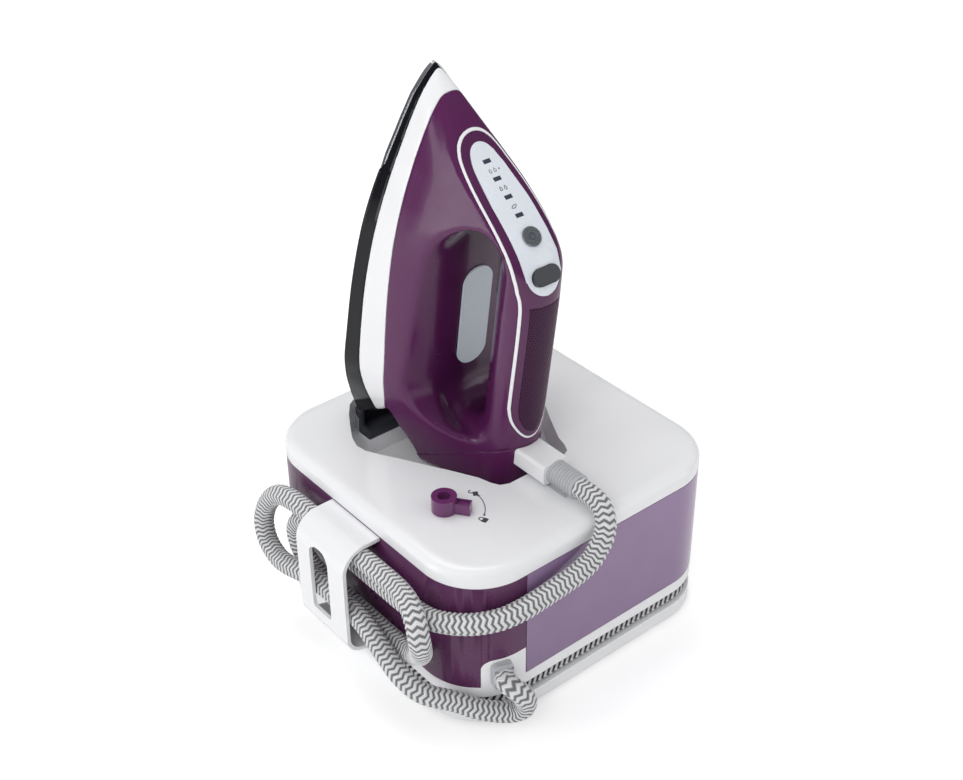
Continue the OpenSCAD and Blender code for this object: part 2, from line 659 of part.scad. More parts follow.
// rounded crown under the ridge: z, then half width, depth or squareness
crown_w = [[0, 0.7], [1, 1.2], [3.7, 3], [10.7, 6.8], [17, 9.6], [25, 13], [33, 16.5],
  [40, 19.3], [54, 22], [80, 22.6], [95, 21], [115, 20], [215, 20], [275, 22]];
crown_depth = [[0, 1], [3.7, 3], [10.7, 6], [25, 9], [40, 12], [60, 15], [80, 16.5], [100, 19],
  [275, 20]];
crown_power = [[0, 2], [25, 2.2], [40, 2.6], [75, 2.5], [100, 2.1], [275, 2]];
waist = 0.885;   // width at the waist, as a share of the sole's
function shoulder_y(z) = lookup(z, ridge) - lookup(z, crown_depth);
function waist_y(z) = min(33, 0.62 * shoulder_y(z));
function half_width(z, y) =
  let (sole = lookup(z, body_w), crown = lookup(z, crown_w), mid = waist_y(z),
    top = shoulder_y(z))
  y < mid ? sole * (1 - (1 - waist) * max(y, 0) / mid)
    : crown + (waist * sole - crown) * (1 - pow(min(1, (y - mid) / (top - mid)), 1.25));
// cross-section of the body at z
function body_ring(z, inset, flank_steps, crown_steps) =
  let (
    base = shoulder_y(z) - inset * 0.2,
    width = max(0.3, lookup(z, crown_w) - inset),
    rise = lookup(z, ridge) - inset - base,
    power = 2 / lookup(z, crown_power),
    flank = [for (j = [0 : flank_steps - 1]) let (y = base * j / flank_steps)
      [max(0.35, half_width(z, y) - inset), y]],
    crown = [for (j = [0 : crown_steps - 1]) let (a = 90 * j / crown_steps)
      [width * pow(cos(a), power), base + rise * pow(sin(a), power)]])
  [for (p = mirrored(concat(flank, crown, [[0, base + rise]]), 0, 1)) [p[0], p[1], z]];
outer_z = [0.2, 1.8, 3.7, 7.5, 10.7, 16.8, 25.2, 30.3, 39.7, 46, 52.4, 58.9, 67.2, 76, 86.6,
  97.4, 110, 146.4, 177.7, 198, 211.3, 230.8, 250, 272];
cavity_z = [9, 16.8, 25.2, 32, 39.7, 46, 52.4, 58.9, 67.2, 76, 86.6, 97.4, 110, 146.4, 177.7,
  198, 211.3, 230.8, 250, 270];
module outer() {
  skin([for (z = outer_z) body_ring(z, 0, 8, 6)]);
}
module cavity() {
  skin([for (z = cavity_z) body_ring(z, iwall, 6, 4)]);
}
// everything below the parked heel's underside, raised by rise
module heel_floor(rise) {
  unparked() box([-100, -200, heel_z + rise - 100], [200, 400, 100]);
}

// ---------- iron's sole and steam chamber ----------
// soleplate: z, half width
sole_w = [[0, 0], [0.6, 1.4], [1.8, 2.9], [4.2, 5.6], [7.5, 8.4], [16.8, 15.2], [30.3, 21.8],
  [42.3, 27.1], [52.6, 31.8], [68.9, 37.4], [86, 41.8], [103, 45.8], [125.7, 49.6],
  [146.4, 52], [177.7, 54.2], [198, 55], [211.3, 54], [230.8, 49.4], [243, 43.5],
  [247.5, 38.5], [249, 33]];
// the points nearest the tip move out on the +x side only
function sole_outline(grow) = concat(
  [for (p = sole_w) [p[1] + grow, p[0] + (p[0] > 246 ? grow : (p[0] < 1 ? -grow : 0))]],
  [for (i = [len(sole_w) - 1 : -1 : 1]) let (p = sole_w[i])
    [-p[1] - grow, p[0] + (p[0] > 246 ? grow : 0)]]);
// part of the sole between two stations, narrowed by inset
function chamber_outline(inset, from, to) =
  mirrored([for (p = sole_w) if (p[0] > from && p[0] < to) [p[1] - inset, p[0]]]);
// steam holes: x, z
vents = concat(
  [for (z = [34 : 13 : 112]) for (i = [-1, 1]) [i * (0.62 * lookup(z, sole_w)), z + 8]],
  [for (z = [24 : 12 : 60]) [0, z]],
  [for (i = [-3 : 3]) [i * 9, 140]]);
vent_r = 1.5;
steam_in_z = 175;      // where the steam tube enters the chamber

module soleplate() color("silver") parked() difference() {
  plan(0, sole_t) polygon(sole_outline(0));
  for (vent = vents) rod_y([vent[0], -1, vent[1]], 10, vent_r, $fn = 16);
}
module steam_chamber_base() color([0.6, 0.6, 0.6]) parked() difference() {
  plan(3.1, 22) polygon(chamber_outline(8, 30, 225));
  plan(14, 30) polygon(chamber_outline(11.5, 42, 212));
  for (vent = vents) if (vent[1] > 45)
    rod_y([vent[0] * 0.8, 2, vent[1]], 20, vent_r, $fn = 16);
}
// U-shaped rod, its bend towards the tip
module iron_heater() color([0.4, 0.4, 0.4]) parked() translate([0, 17.9, 0]) {
  leg_x = 19;
  rod_r = 3.6;
  for (i = [-1, 1]) rod_z([i * leg_x, 0, 90], 100, rod_r);
  translate([0, 0, 90]) rotate([90, 0, 0]) rotate_extrude(angle = -180)
    translate([leg_x, 0]) circle(rod_r, $fn = 32);
}
module steam_chamber_cover() color([0.7, 0.7, 0.7]) parked() difference() {
  plan(22.1, 24) polygon(chamber_outline(8, 30, 225));
  rod_y([0, 20, steam_in_z], 10, 3.1);
}
module iron_thermostat() color("tan") parked()
  translate([0, 24.1, 120]) rotate([-90, 0, 0]) thermostat(4);

// ---------- iron's shells ----------
// A minkowski() round a lone child leaves its shape as it is.
// top edges of the skirt and of the lower shell: z, y
skirt_top = [[0, 9.4], [3.93, 9.02], [10, 8], [20, 7.6], [50, 8.6], [75, 12], [112, 13],
  [140, 8.5], [170, 7.2], [200, 7.2], [212, 10.9], [221, 18.7], [226, 25], [231, 28]];
lower_top = [[0, 34], [7, 30], [9, 22], [10.7, 19.6], [20, 22], [40, 26.5], [60, 29.5],
  [94, 33], [225, 34], [231, 28.4]];
edge_gap = 0.08;       // either side of each edge
function edge(table, rise) = [for (p = table) [p[1] + rise, p[0]]];
function edge_back(table, rise) =
  [for (i = [len(table) - 1 : -1 : 0]) [table[i][1] + rise, table[i][0]]];
// hand opening, grown by grow
module opening_view(grow) {
  translate([73, 141.5]) slab(30 + 2 * grow, 143 + 2 * grow, 14.9 + grow);
}
module opening(grow) {
  for (i = [0, 1]) mirror([i, 0, 0]) hull() {
    side(-1, 9) opening_view(grow);
    side(44, 62) opening_view(8 + grow);
  }
}
// seam between upper shell and heel cover: y, z
seam = [[48, 260.4], [140, 201.2]];
// right half of the handle's inlay, seen from above: z, half width
inlay_edge = [[25.4, 0], [25.9, 4], [27.2, 7.6], [29.4, 10.8], [33, 14], [40, 17.2], [54, 20],
  [80, 20.6], [93, 19], [110, 17], [188, 17], [197, 14.6], [203, 11], [206.6, 6.5], [208, 0]];
inlay_gap = 0.06;
module inlay(inset) {
  offset(delta = -inset) polygon(mirrored([for (p = inlay_edge) [p[1], p[0]]], 1, 1));
}
module panel_plan(grow) {
  intersection() {
    inlay(6.4 - grow);
    union() {
      translate([-30, 0]) square([60, 87 + grow]);
      translate([0, 84]) circle(13.2 + grow);
    }
  }
}
module grip_plan(inset) {
  intersection() {
    inlay(5.6 + inset);
    translate([-40, 104 + inset]) square([80, 120]);
  }
}
// a plan kept only near the ridge
module on_top() {
  intersection() {
    plan(0, 150) children();
    side(-40, 40) polygon(concat([for (p = ridge) [p[1] - 16, p[0] + 0.43]],
      [[150, 275.43], [150, 0.43]]));
  }
}
module inlay_part() {
  minkowski() {
    difference() {
      intersection() {
        outer();
        on_top() children();
      }
      cavity();
    }
  }
}
module connector(grow) {
  translate([0, -50, hose_z]) rotate([-90, 0, 0]) translate([0, 0, -14.2])
    linear_extrude(30.4) slab(21 + 2 * grow, 14 + 2 * grow, 2.5);
}
trigger_y = 96;        // trigger's pivot
trigger_z = 122;
heel_screw_x = 20;     // either side of the middle

module sole_skirt() color([0.1, 0.1, 0.1]) parked() minkowski() {
  difference() {
    intersection() {
      outer();
      side(-80, 80) polygon(concat([[1.2, -1], [1.2, 250], [3, 250]],
        edge_back(skirt_top, -edge_gap), [[9.4, -1]]));
    }
    intersection() {
      cavity();
      side(-80, 80) polygon([[-9, -9], [-9, 243], [3, 243], [40, 218], [40, -9]]);
    }
    translate([0, 0, -0.06]) plan(-5, sole_t + 0.1) polygon(sole_outline(0.4));
  }
}
module lower_shell() color("white") parked() minkowski() {
  difference() {
    intersection() {
      outer();
      side(-80, 80)
        polygon(concat(edge(skirt_top, edge_gap), edge_back(lower_top, -edge_gap)));
    }
    cavity();
  }
}
module upper_shell() color([0.35, 0.1, 0.35]) parked() minkowski() {
  difference() {
    union() {
      difference() {
        intersection() {
          outer();
          side(-80, 80) polygon(concat(edge(lower_top, edge_gap),
            [[52, 257], seam[0] + [0, -0.1], seam[1] + [0, -0.1], [140, -1]]));
        }
        difference() {
          intersection() {
            cavity();
            side(-80, 80)
              polygon([[-5, 5], [-5, 222], [30, 226], [55, 250], [130, 250], [130, 5]]);
          }
          opening(iwall);
        }
      }
      // cheeks that carry the trigger's pivot
      for (i = [-1, 1]) box([i * 10.5 - 1.5, trigger_y - 7, trigger_z - 4], [3, 11, 8]);
    }
    opening(0);
    on_top() inlay(-0.08);
    // trigger slot and pivot hole
    box([-8.4, 80, 82], [16.8, 14, 46]);
    rod_x([-20, trigger_y, trigger_z], 40, 1.72, $fn = 24);
    unparked() connector(0.15);
    // seat of the badge
    box([-11.7, 57, 112.7], [23.4, 3, 77.6]);
  }
}
module heel_cover() color([0.35, 0.1, 0.35]) parked() minkowski() {
  difference() {
    intersection() {
      outer();
      side(-80, 80) polygon([seam[0] + [4, -2.5], seam[1], [140, 290], [60, 290]]);
    }
    difference() {
      intersection() {
        cavity();
        side(-80, 80) polygon([[56, 200], [56, 262], [140, 262], [140, 190]]);
      }
      heel_floor(2.4);
    }
    heel_floor(0);
    opening(0);
    unparked() connector(0.15);
    for (i = [-1, 1]) unparked() rod_z([i * heel_screw_x, -2, 90], 20, 2, $fn = 24);
  }
}
module handle_trim_ring() color("white") parked() inlay_part() difference() {
  inlay(0);
  inlay(2.5);
}
module handle_band() color([0.4, 0.15, 0.4]) parked() inlay_part() difference() {
  inlay(2.5 + inlay_gap);
  panel_plan(inlay_gap);
  grip_plan(0);
}
module handle_grip() color([0.25, 0.1, 0.26]) parked() inlay_part() grip_plan(inlay_gap);

// ---------- iron's controls ----------
lamp_z = [39.7, 46, 52.4, 58.9];
mode_z = 67.2;
reset_z = 85.2;
// frames that stand on the ridge at z, their Z pointing out of it
function slope(z) = atan2(lookup(z + 1, ridge) - lookup(z - 1, ridge), 2);
module on_panel(z) {
  translate([0, lookup(z, ridge), z]) rotate([-slope(z), 0, 0]) rotate([-90, 0, 0]) children();
}
module control_panel() color("white") parked() minkowski() {
  difference() {
    intersection() {
      outer();
      on_top() panel_plan(0);
    }
    cavity();
    for (z = lamp_z) on_panel(z) box([-2.8, -1.4, -8], [5.6, 2.8, 16]);
    on_panel(mode_z) rod_z([0, 0, -8], 16, 6.3);
    on_panel(reset_z) translate([0, 0, -8]) linear_extrude(16) slab(20.3, 11.3, 5.6);
  }
}
module indicator_windows() color([0.3, 0.4, 0.5]) parked()
  for (z = lamp_z) on_panel(z) box([-2.7, -1.3, -4], [5.4, 2.6, 3.8]);
module mode_button() color([0.6, 0.62, 0.65]) parked() on_panel(mode_z) {
  rod_z([0, 0, -5], 5.9, 6.2);
  rod_z([0, 0, -5.6], 0.9, 6.9);
}
module reset_button() color([0.25, 0.27, 0.3]) parked() on_panel(reset_z) {
  translate([0, 0, -5]) linear_extrude(6) slab(20, 11, 5.45);
  translate([0, 0, -5.6]) linear_extrude(0.9) slab(21, 12.4, 6);
}
module indicator_board() color([0.1, 0.4, 0.2]) parked()
  translate([0, 72.4, 49.2]) rotate([-slope(49), 0, 0]) rotate([-90, 0, 0])
    box([-10, -20, -9.5], [20, 34, 1.6]);
module steam_trigger() color([0.75, 0.75, 0.78]) parked() {
  box([-8, 84.5, 84], [16, 8, 30]);
  box([-8, 89, 108], [16, 7, 14]);
  box([-8, 92, 84], [16, 2.6, 30]);
  rod_x([-8, trigger_y, trigger_z], 16, 3.4);
  rod_x([-11.8, trigger_y, trigger_z], 23.6, 1.6);
}
module trigger_spring() color("silver") parked()
  translate([0, 95.2, 97]) rotate([-90, 0, 0]) spring(3, 8.2, 0.45);
module trigger_switch() color([0.1, 0.1, 0.1]) parked() {
  box([-6, 104.2, 94], [12, 8, 12]);
  box([-2, 95.9, 101.6], [4, 8.4, 2]);
}
module body_badge() color([0.68, 0.72, 0.77]) parked()
  translate([0, 58.05, 151.5]) rotate([-90, 0, 0]) linear_extrude(1.4) slab(23, 75, 11.4);

// ---------- iron's hose end ----------
steam_bore_r = 3.6;
module hose_connector() color("white") difference() {
  connector(0);
  rod_y([0, -90, hose_z], 60, steam_bore_r);
}
module iron_hose_cuff() color([0.72, 0.73, 0.74])
  translate([0, -64.3, hose_z]) rotate([90, 0, 0]) difference() {
    // profile with eight ribs: radius, distance from the connector
    rotate_extrude() polygon(concat([[0, 0], [8.2, 0], [8.2, 1.6]],
      [for (i = [0 : 7]) let (z = i * 2.4)
        each [[7.3, 2 + z], [7.3, 2.7 + z], [8.1, 3 + z], [8.1, 4 + z]]],
      [[7.4, 21.8], [0, 21.8]]));
    rod_z([0, 0, -1], 40, steam_bore_r);
  }
// connector to steam chamber, in the iron's frame
iron_tube_path = [[0, 170, 214.4], [0, 142.3, 218.3], [0, 114.6, 222.2], [0, 99.5, 228],
  [0, 86, 234.5], [0, 73, 237.5], [0, 60, 236.5], [0, 49, 228.4], [0, 39, 216],
  [0, 34.5, 204], [0, 33, 192], [0, 31.6, 182], [0, 29, 176.4], [0, 27, steam_in_z],
  [0, 25.6, steam_in_z], [0, 24.2, steam_in_z]];
module iron_steam_tube() color([0.85, 0.85, 0.82]) parked()
  pipe(iron_tube_path, 2.9, [1, 0, 0]);
module iron_screws() color("silver")
  for (i = [-1, 1]) translate([i * heel_screw_x, -2, heel_z + 0.1]) difference() {
    cylinder(h = 12, r = 1.8);
    box([-1.2, -0.3, -0.5], [2.4, 0.6, 1.2]);
  }

// the clip or hose reaches furthest left and the hose furthest forward;
// half of each overhang centres the whole
function lowest(axis) = min([for (ring = hose_rings) for (p = ring) p[axis]]);
shift = [(max(clip_reach, -lowest(0)) - half) / 2, (-lowest(1) - half) / 2, 0];

translate(shift) base_tray();
translate(shift) rubber_feet();
translate(shift) base_screws();
translate(shift) side_housing();
translate(shift) top_cover();
translate(shift) rest_insert();
translate(shift) rest_pads();
translate(shift) water_tank();
translate(shift) filler_flap();
translate(shift) tank_valve();
translate(shift) tank_valve_spring();
translate(shift) tank_coupling();
translate(shift) tank_seal();
translate(shift) lock_knob();
translate(shift) lock_latch();
translate(shift) hose_clip();
translate(shift) steam_hose();
translate(shift) hose_outlet_cuff();
translate(shift) mains_cord();
translate(shift) cord_bushing();
translate(shift) mains_plug();
translate(shift) boiler_body();
translate(shift) boiler_heater();
translate(shift) boiler_thermostat();
translate(shift) safety_valve();
translate(shift) solenoid_valve();
translate(shift) pump_body();
translate(shift) pump_coil();
translate(shift) pump_piston();
translate(shift) pump_spring();
translate(shift) suction_tube();
translate(shift) pressure_tube();
translate(shift) steam_pipe();
translate(shift) control_board();
translate(shift) soleplate();
translate(shift) steam_chamber_base();
translate(shift) iron_heater();
translate(shift) steam_chamber_cover();
translate(shift) iron_thermostat();
translate(shift) sole_skirt();
translate(shift) lower_shell();
translate(shift) upper_shell();
translate(shift) heel_cover();
translate(shift) handle_trim_ring();
translate(shift) handle_band();
translate(shift) handle_grip();
translate(shift) control_panel();
translate(shift) indicator_windows();
translate(shift) mode_button();
translate(shift) reset_button();
translate(shift) indicator_board();
translate(shift) steam_trigger();
translate(shift) trigger_spring();
translate(shift) trigger_switch();
translate(shift) body_badge();
translate(shift) hose_connector();
translate(shift) iron_hose_cuff();
translate(shift) iron_steam_tube();
translate(shift) iron_screws();
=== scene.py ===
"""A steam iron standing on its base station, joined to it by a textile hose.

Millimetres, +Z up, measured from the centre of the base; the meshes are stored in metres. The
iron stands tip up, leaning 8 degrees, with its sole toward +Y. Its own frame is (x across,
h height over the sole, s distance from the tip). The camera looks from -X, -Y and above.
"""
import bpy
import bmesh
import json
import math
import numpy as np
from mathutils import Vector, Matrix


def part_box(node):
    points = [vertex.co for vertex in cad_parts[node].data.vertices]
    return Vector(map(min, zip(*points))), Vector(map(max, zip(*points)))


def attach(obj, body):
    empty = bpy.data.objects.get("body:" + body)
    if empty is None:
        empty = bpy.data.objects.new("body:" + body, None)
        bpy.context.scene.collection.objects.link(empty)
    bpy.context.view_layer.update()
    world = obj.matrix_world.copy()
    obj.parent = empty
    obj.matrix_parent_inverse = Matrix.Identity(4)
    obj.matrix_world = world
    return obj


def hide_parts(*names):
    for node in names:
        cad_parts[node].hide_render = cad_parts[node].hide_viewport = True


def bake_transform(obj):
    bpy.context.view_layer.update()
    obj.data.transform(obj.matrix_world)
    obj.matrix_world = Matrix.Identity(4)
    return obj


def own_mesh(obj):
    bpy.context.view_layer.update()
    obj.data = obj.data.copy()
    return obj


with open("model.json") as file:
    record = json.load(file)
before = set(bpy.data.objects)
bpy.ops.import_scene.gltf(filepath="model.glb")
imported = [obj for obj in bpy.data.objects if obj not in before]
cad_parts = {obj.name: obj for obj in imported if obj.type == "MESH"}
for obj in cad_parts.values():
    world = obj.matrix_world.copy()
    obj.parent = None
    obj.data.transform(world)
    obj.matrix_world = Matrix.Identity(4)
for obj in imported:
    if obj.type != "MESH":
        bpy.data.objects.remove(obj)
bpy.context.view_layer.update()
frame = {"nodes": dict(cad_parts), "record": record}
nodes = frame["nodes"]
slot_of = {s["node"]: s["material_slot"] for s in frame["record"]["subparts"]}
scene = bpy.context.scene

base_low, base_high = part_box("base_tray")
BASE_CENTRE = np.array([(base_low[0] + base_high[0]) * 500.0,
                        (base_low[1] + base_high[1]) * 500.0, 0.0])
BASE_HALF = (base_high[0] - base_low[0]) * 500.0
BASE_CORNER = 41.0                      # corner radius of the base
LEAN = math.radians(8.0)
COS_LEAN, SIN_LEAN = math.cos(LEAN), math.sin(LEAN)
TIP_Y, TIP_Z = 52.6, 369.0              # where the sole's tip is
LID_Z = 124.0                           # top of the station's lid

# zigzags round the line and their depth in pattern lengths, for both the mesh and its colours
HOSE_KNIT = dict(cells=6, zig=0.46)
CORD_KNIT = dict(cells=2, zig=1.1)


def to_world(p):
    """Base-centred mm to metres."""
    return (np.asarray(p, float) + BASE_CENTRE) / 1000.0


def from_iron(q):
    """The iron's (x, h, s) to base-centred mm."""
    q = np.asarray(q, float)
    x, h, s = q[..., 0], q[..., 1], q[..., 2]
    return np.stack([x, TIP_Y + s * SIN_LEAN - h * COS_LEAN,
                     TIP_Z - s * COS_LEAN - h * SIN_LEAN], -1)


# ---------------------------------------------------------------- node graphs
class Graph:
    """Short calls for building a node tree; any value may be a number or a socket."""

    def __init__(self, tree):
        self.tree = tree

    def node(self, kind, **settings):
        made = self.tree.nodes.new(kind)
        for key, value in settings.items():
            setattr(made, key, value)
        return made

    def link(self, output, socket):
        self.tree.links.new(output, socket)

    def put(self, socket, value):
        if isinstance(value, bpy.types.NodeSocket):
            self.link(value, socket)
        else:
            socket.default_value = value

    def fill(self, node, values):
        for key, value in values.items():
            self.put(node.inputs[key], value)

    def math(self, operation, a, b=0.0, c=0.0):
        made = self.node("ShaderNodeMath", operation=operation)
        self.fill(made, {0: a, 1: b, 2: c})
        return made.outputs[0]

    def mix(self, factor, a, b):
        made = self.node("ShaderNodeMix", data_type="RGBA")
        self.put(made.inputs[0], factor)
        for i, v in ((6, a), (7, b)):
            self.put(made.inputs[i], v if isinstance(v, bpy.types.NodeSocket) else (*v[:3], 1))
        return made.outputs[2]

    def coords(self, kind="Object"):
        return self.node("ShaderNodeTexCoord").outputs[kind]

    def separate(self, vector):
        made = self.node("ShaderNodeSeparateXYZ")
        self.link(vector, made.inputs[0])
        return made.outputs

    def noise(self, scale, detail=3, rough=0.5, vector=None):
        made = self.node("ShaderNodeTexNoise")
        self.fill(made, {"Scale": scale, "Detail": detail, "Roughness": rough,
                         "Vector": self.coords() if vector is None else vector})
        return made.outputs["Fac"]

    def remap(self, value, source, target=(0, 1)):
        made = self.node("ShaderNodeMapRange")
        self.fill(made, dict(enumerate((value, *source, *target))))
        return made.outputs[0]

    def scaled(self, vector, factor):
        made = self.node("ShaderNodeVectorMath", operation="SCALE")
        self.fill(made, {0: vector, "Scale": factor})
        return made.outputs[0]

    def bump(self, height, depth, strength, normal=None):
        made = self.node("ShaderNodeBump")
        self.fill(made, {"Strength": strength, "Distance": depth, "Height": height})
        if normal is not None:
            self.link(normal, made.inputs["Normal"])
        return made.outputs[0]


# ---------------------------------------------------------------- materials
MATERIALS = {}
MID = (0.3, 0.7)                        # the part of a noise's range that is spread out


def new_material(name):
    material = MATERIALS[name] = bpy.data.materials.new(name)
    material.use_nodes = True
    tree = material.node_tree
    return Graph(tree), tree.nodes["Principled BSDF"]


def plastic(name, colour, rough=0.25, coat=0.0, grain=0.0, vary=0.06, specular=0.5,
            subsurface=0.0, wear=0.1, hollow_shade=0.0):
    """Moulded plastic: drifting colour, uneven gloss, grain, paler edges, painted shade in
    hollows.
    """
    g, shader = new_material(name)
    c = np.array(colour, float)
    base = g.mix(g.remap(g.noise(scale=22, detail=4, rough=0.6), MID),
                 c * (1 - vary), np.minimum(c * (1 + vary), 1))
    if wear:
        geometry = g.node("ShaderNodeNewGeometry")
        edge = g.remap(geometry.outputs["Pointiness"], (0.53, 0.62), (0, wear))
        base = g.mix(edge, base, np.minimum(c * 1.5 + 0.05, 1))
    # painted shade: an ambient-occlusion node darkens the colour in hollows and creases
    if hollow_shade:
        shade_ao = g.node("ShaderNodeAmbientOcclusion", samples=6, only_local=True)
        shade_ao.inputs["Distance"].default_value = 0.06
        openness = g.math("POWER", g.remap(shade_ao.outputs["AO"], (0.4, 0.95)), 1.0)
        base = g.mix(openness, c * (1 - hollow_shade), base)
    smudge = g.noise(scale=60, detail=5, rough=0.65)
    fine = g.noise(scale=900 if grain < 0.5 else 1600, detail=2)
    wave = g.noise(scale=14, detail=2, rough=0.4)
    normal = g.bump(fine, depth=0.00004, strength=0.04 + grain)
    g.fill(shader, {
        "Base Color": base,
        "Roughness": g.remap(smudge, (0.35, 0.75), (rough - 0.04, rough + 0.05)),
        "Specular IOR Level": specular,
        "Coat Weight": coat,
        "Coat Roughness": 0.06,
        "Normal": g.bump(wave, depth=0.0006, strength=0.025, normal=normal)})
    if subsurface:
        g.fill(shader, {"Subsurface Weight": subsurface,
                        "Subsurface Radius": (0.004, 0.004, 0.004)})


def metal(name, colour, rough=0.25, stretch=(300, 300, 300)):
    """Metal with fine marks; stretch is the marks' density along each axis."""
    g, shader = new_material(name)
    c = np.array(colour, float)
    mapping = g.node("ShaderNodeMapping")
    g.fill(mapping, {"Scale": stretch, "Vector": g.coords()})
    fine = g.noise(scale=3.0, detail=4, rough=0.6, vector=mapping.outputs[0])
    drift = g.remap(g.noise(scale=40, detail=4, rough=0.6), MID)
    g.fill(shader, {
        "Metallic": 1.0,
        "Base Color": g.mix(drift, c * 0.9, np.minimum(c * 1.06, 1)),
        "Roughness": g.remap(fine, MID, (rough * 0.7, rough * 1.4)),
        "Normal": g.bump(fine, depth=0.00005, strength=0.25)})


def rubber(name, colour):
    g, shader = new_material(name)
    c = np.array(colour, float)
    g.fill(shader, {
        "Base Color": g.mix(g.noise(scale=120, detail=5, rough=0.7), c * 0.75, c * 1.35),
        "Roughness": 0.75,
        "Normal": g.bump(g.noise(scale=1500, rough=0.6), depth=0.0001, strength=0.35)})


def clear(name, colour):
    """Tinted clear moulding: glossy, passes a little light, with painted shade making it darker
    lower down.
    """
    g, shader = new_material(name)
    c = np.array(colour, float)
    position = g.node("ShaderNodeNewGeometry").outputs["Position"]
    # painted shade: the colour darkens toward the bottom by height above the floor
    shade = g.remap(g.separate(position)[2], (0.03, 0.11), (0.93, 1.06))
    drift = g.remap(g.noise(scale=18, rough=0.6), MID)
    g.fill(shader, {
        "Base Color": g.scaled(g.mix(drift, c * 0.96, c * 1.04), shade),
        "Roughness": 0.2,
        "Transmission Weight": 0.10,
        "IOR": 1.46,
        "Coat Weight": 0.4,
        "Coat Roughness": 0.05,
        "Normal": g.bump(g.noise(scale=12, detail=2, rough=0.4), depth=0.0008, strength=0.06)})


def textile(name, light, dark, cells, zig, sharp=0.16, share=0.5):
    """Knitted zigzag sleeve: U runs along the line in pattern lengths, V once round.

    sharp is the softness of the stripe edges, share the place of the dark-light change.
    """
    g, shader = new_material(name)
    u, v, _ = g.separate(g.coords("UV"))
    zigzag = g.math("PINGPONG", g.math("MULTIPLY", v, 2.0 * cells), 1.0)
    wobble = g.math("SUBTRACT", g.noise(scale=260, rough=0.6), 0.5)
    along = g.math("ADD", g.math("ADD", u, g.math("MULTIPLY", zigzag, zig)),
                   g.math("MULTIPLY", wobble, 0.10))
    stripe = g.remap(g.math("PINGPONG", g.math("MULTIPLY", along, 2.0), 1.0),
                     (share - sharp, share + sharp))
    # single yarns along and across each stripe
    yarn = g.math("PINGPONG", g.math("MULTIPLY", along, 8.0), 1.0)
    cross = g.math("PINGPONG", g.math("MULTIPLY", v, 2.0 * cells * 5.0), 1.0)
    both = g.math("ADD", g.math("MULTIPLY", yarn, 0.6), g.math("MULTIPLY", cross, 0.4))
    weave = g.math("MULTIPLY", both, 1.0)
    shade = g.remap(weave, (0.0, 1.0), (0.74, 1.1))
    fibre = g.remap(g.noise(scale=2400, rough=0.7), MID, (0.86, 1.1))
    height = g.math("ADD", g.math("MULTIPLY", stripe, 0.9), g.math("MULTIPLY", weave, 0.45))
    g.fill(shader, {
        "Base Color": g.scaled(g.mix(stripe, dark, light), g.math("MULTIPLY", shade, fibre)),
        "Roughness": 0.85,
        "Sheen Weight": 0.3,
        "Sheen Roughness": 0.4,
        "Normal": g.bump(height, depth=0.0006, strength=0.8)})


def dotted_grip(name, colour):
    """Soft grip with staggered raised dots, one to each unit of UV."""
    g, shader = new_material(name)
    c = np.array(colour, float)
    u, v, _ = g.separate(g.coords("UV"))
    row = g.math("ABSOLUTE", g.math("FLOOR", u))
    stagger = g.math("MULTIPLY", g.math("MODULO", row, 2.0), 0.5)
    du = g.math("SUBTRACT", g.math("FRACT", u), 0.5)
    dv = g.math("SUBTRACT", g.math("FRACT", g.math("ADD", v, stagger)), 0.5)
    square = g.math("ADD", g.math("MULTIPLY", du, du), g.math("MULTIPLY", dv, dv))
    dot = g.remap(g.math("SQRT", square), (0.2, 0.32), (1, 0))
    g.fill(shader, {
        "Base Color": g.mix(dot, c, c * 0.22),
        "Specular IOR Level": 0.25,
        "Roughness": g.remap(dot, (0, 1), (0.42, 0.6)),
        "Normal": g.bump(dot, depth=0.0004, strength=0.9)})


def floor_paint(name, colour):
    """Matt floor with a glow that only the camera sees."""
    g, shader = new_material(name)
    c = np.array(colour)
    seen = g.node("ShaderNodeLightPath").outputs["Is Camera Ray"]
    g.fill(shader, {
        "Base Color": g.mix(g.noise(scale=6, detail=2), c * 0.995, c),
        "Roughness": 0.9,
        "Specular IOR Level": 0.1,
        "Emission Color": (1, 1, 1, 1),
        "Emission Strength": g.math("MULTIPLY", seen, 0.3)})


plastic("white_gloss", (0.87, 0.875, 0.89), rough=0.2, coat=0.25, vary=0.015, subsurface=0.05,
        wear=0)
plastic("panel_white", (0.76, 0.80, 0.86), rough=0.28, vary=0.015, wear=0)
plastic("housing_plum", (0.080, 0.014, 0.069), rough=0.3, coat=0.05, vary=0.05, wear=0.2,
        specular=0.4)
# the iron's body gets painted shade in its hollows, chiefly inside the hand opening
plastic("body_plum", (0.092, 0.012, 0.080), rough=0.24, coat=0.2, vary=0.03, wear=0,
        specular=0.4, hollow_shade=0.75)
plastic("band_plum", (0.085, 0.012, 0.074), rough=0.3, coat=0.1, vary=0.05, wear=0)
dotted_grip("grip_plum", (0.055, 0.009, 0.048))
clear("tank_lavender", (0.285, 0.180, 0.335))
clear("knob_purple", (0.150, 0.032, 0.135))
plastic("black_satin", (0.005, 0.005, 0.008), rough=0.16, vary=0.1, wear=0, specular=0.3)
MATERIALS["black_beak"] = MATERIALS["black_satin"]
plastic("insert_black", (0.03, 0.032, 0.042), rough=0.5, grain=0.5, vary=0.1, wear=0.3)
plastic("black_moulded", (0.012, 0.012, 0.013), rough=0.45, grain=0.6, vary=0.1)
rubber("rubber_dark", (0.03, 0.03, 0.033))
plastic("cuff_grey", (0.47, 0.48, 0.50), rough=0.4, grain=0.2, vary=0.03, wear=0.2)
textile("hose_textile", light=(0.84, 0.84, 0.85), dark=(0.19, 0.195, 0.205), share=0.43,
        **HOSE_KNIT)
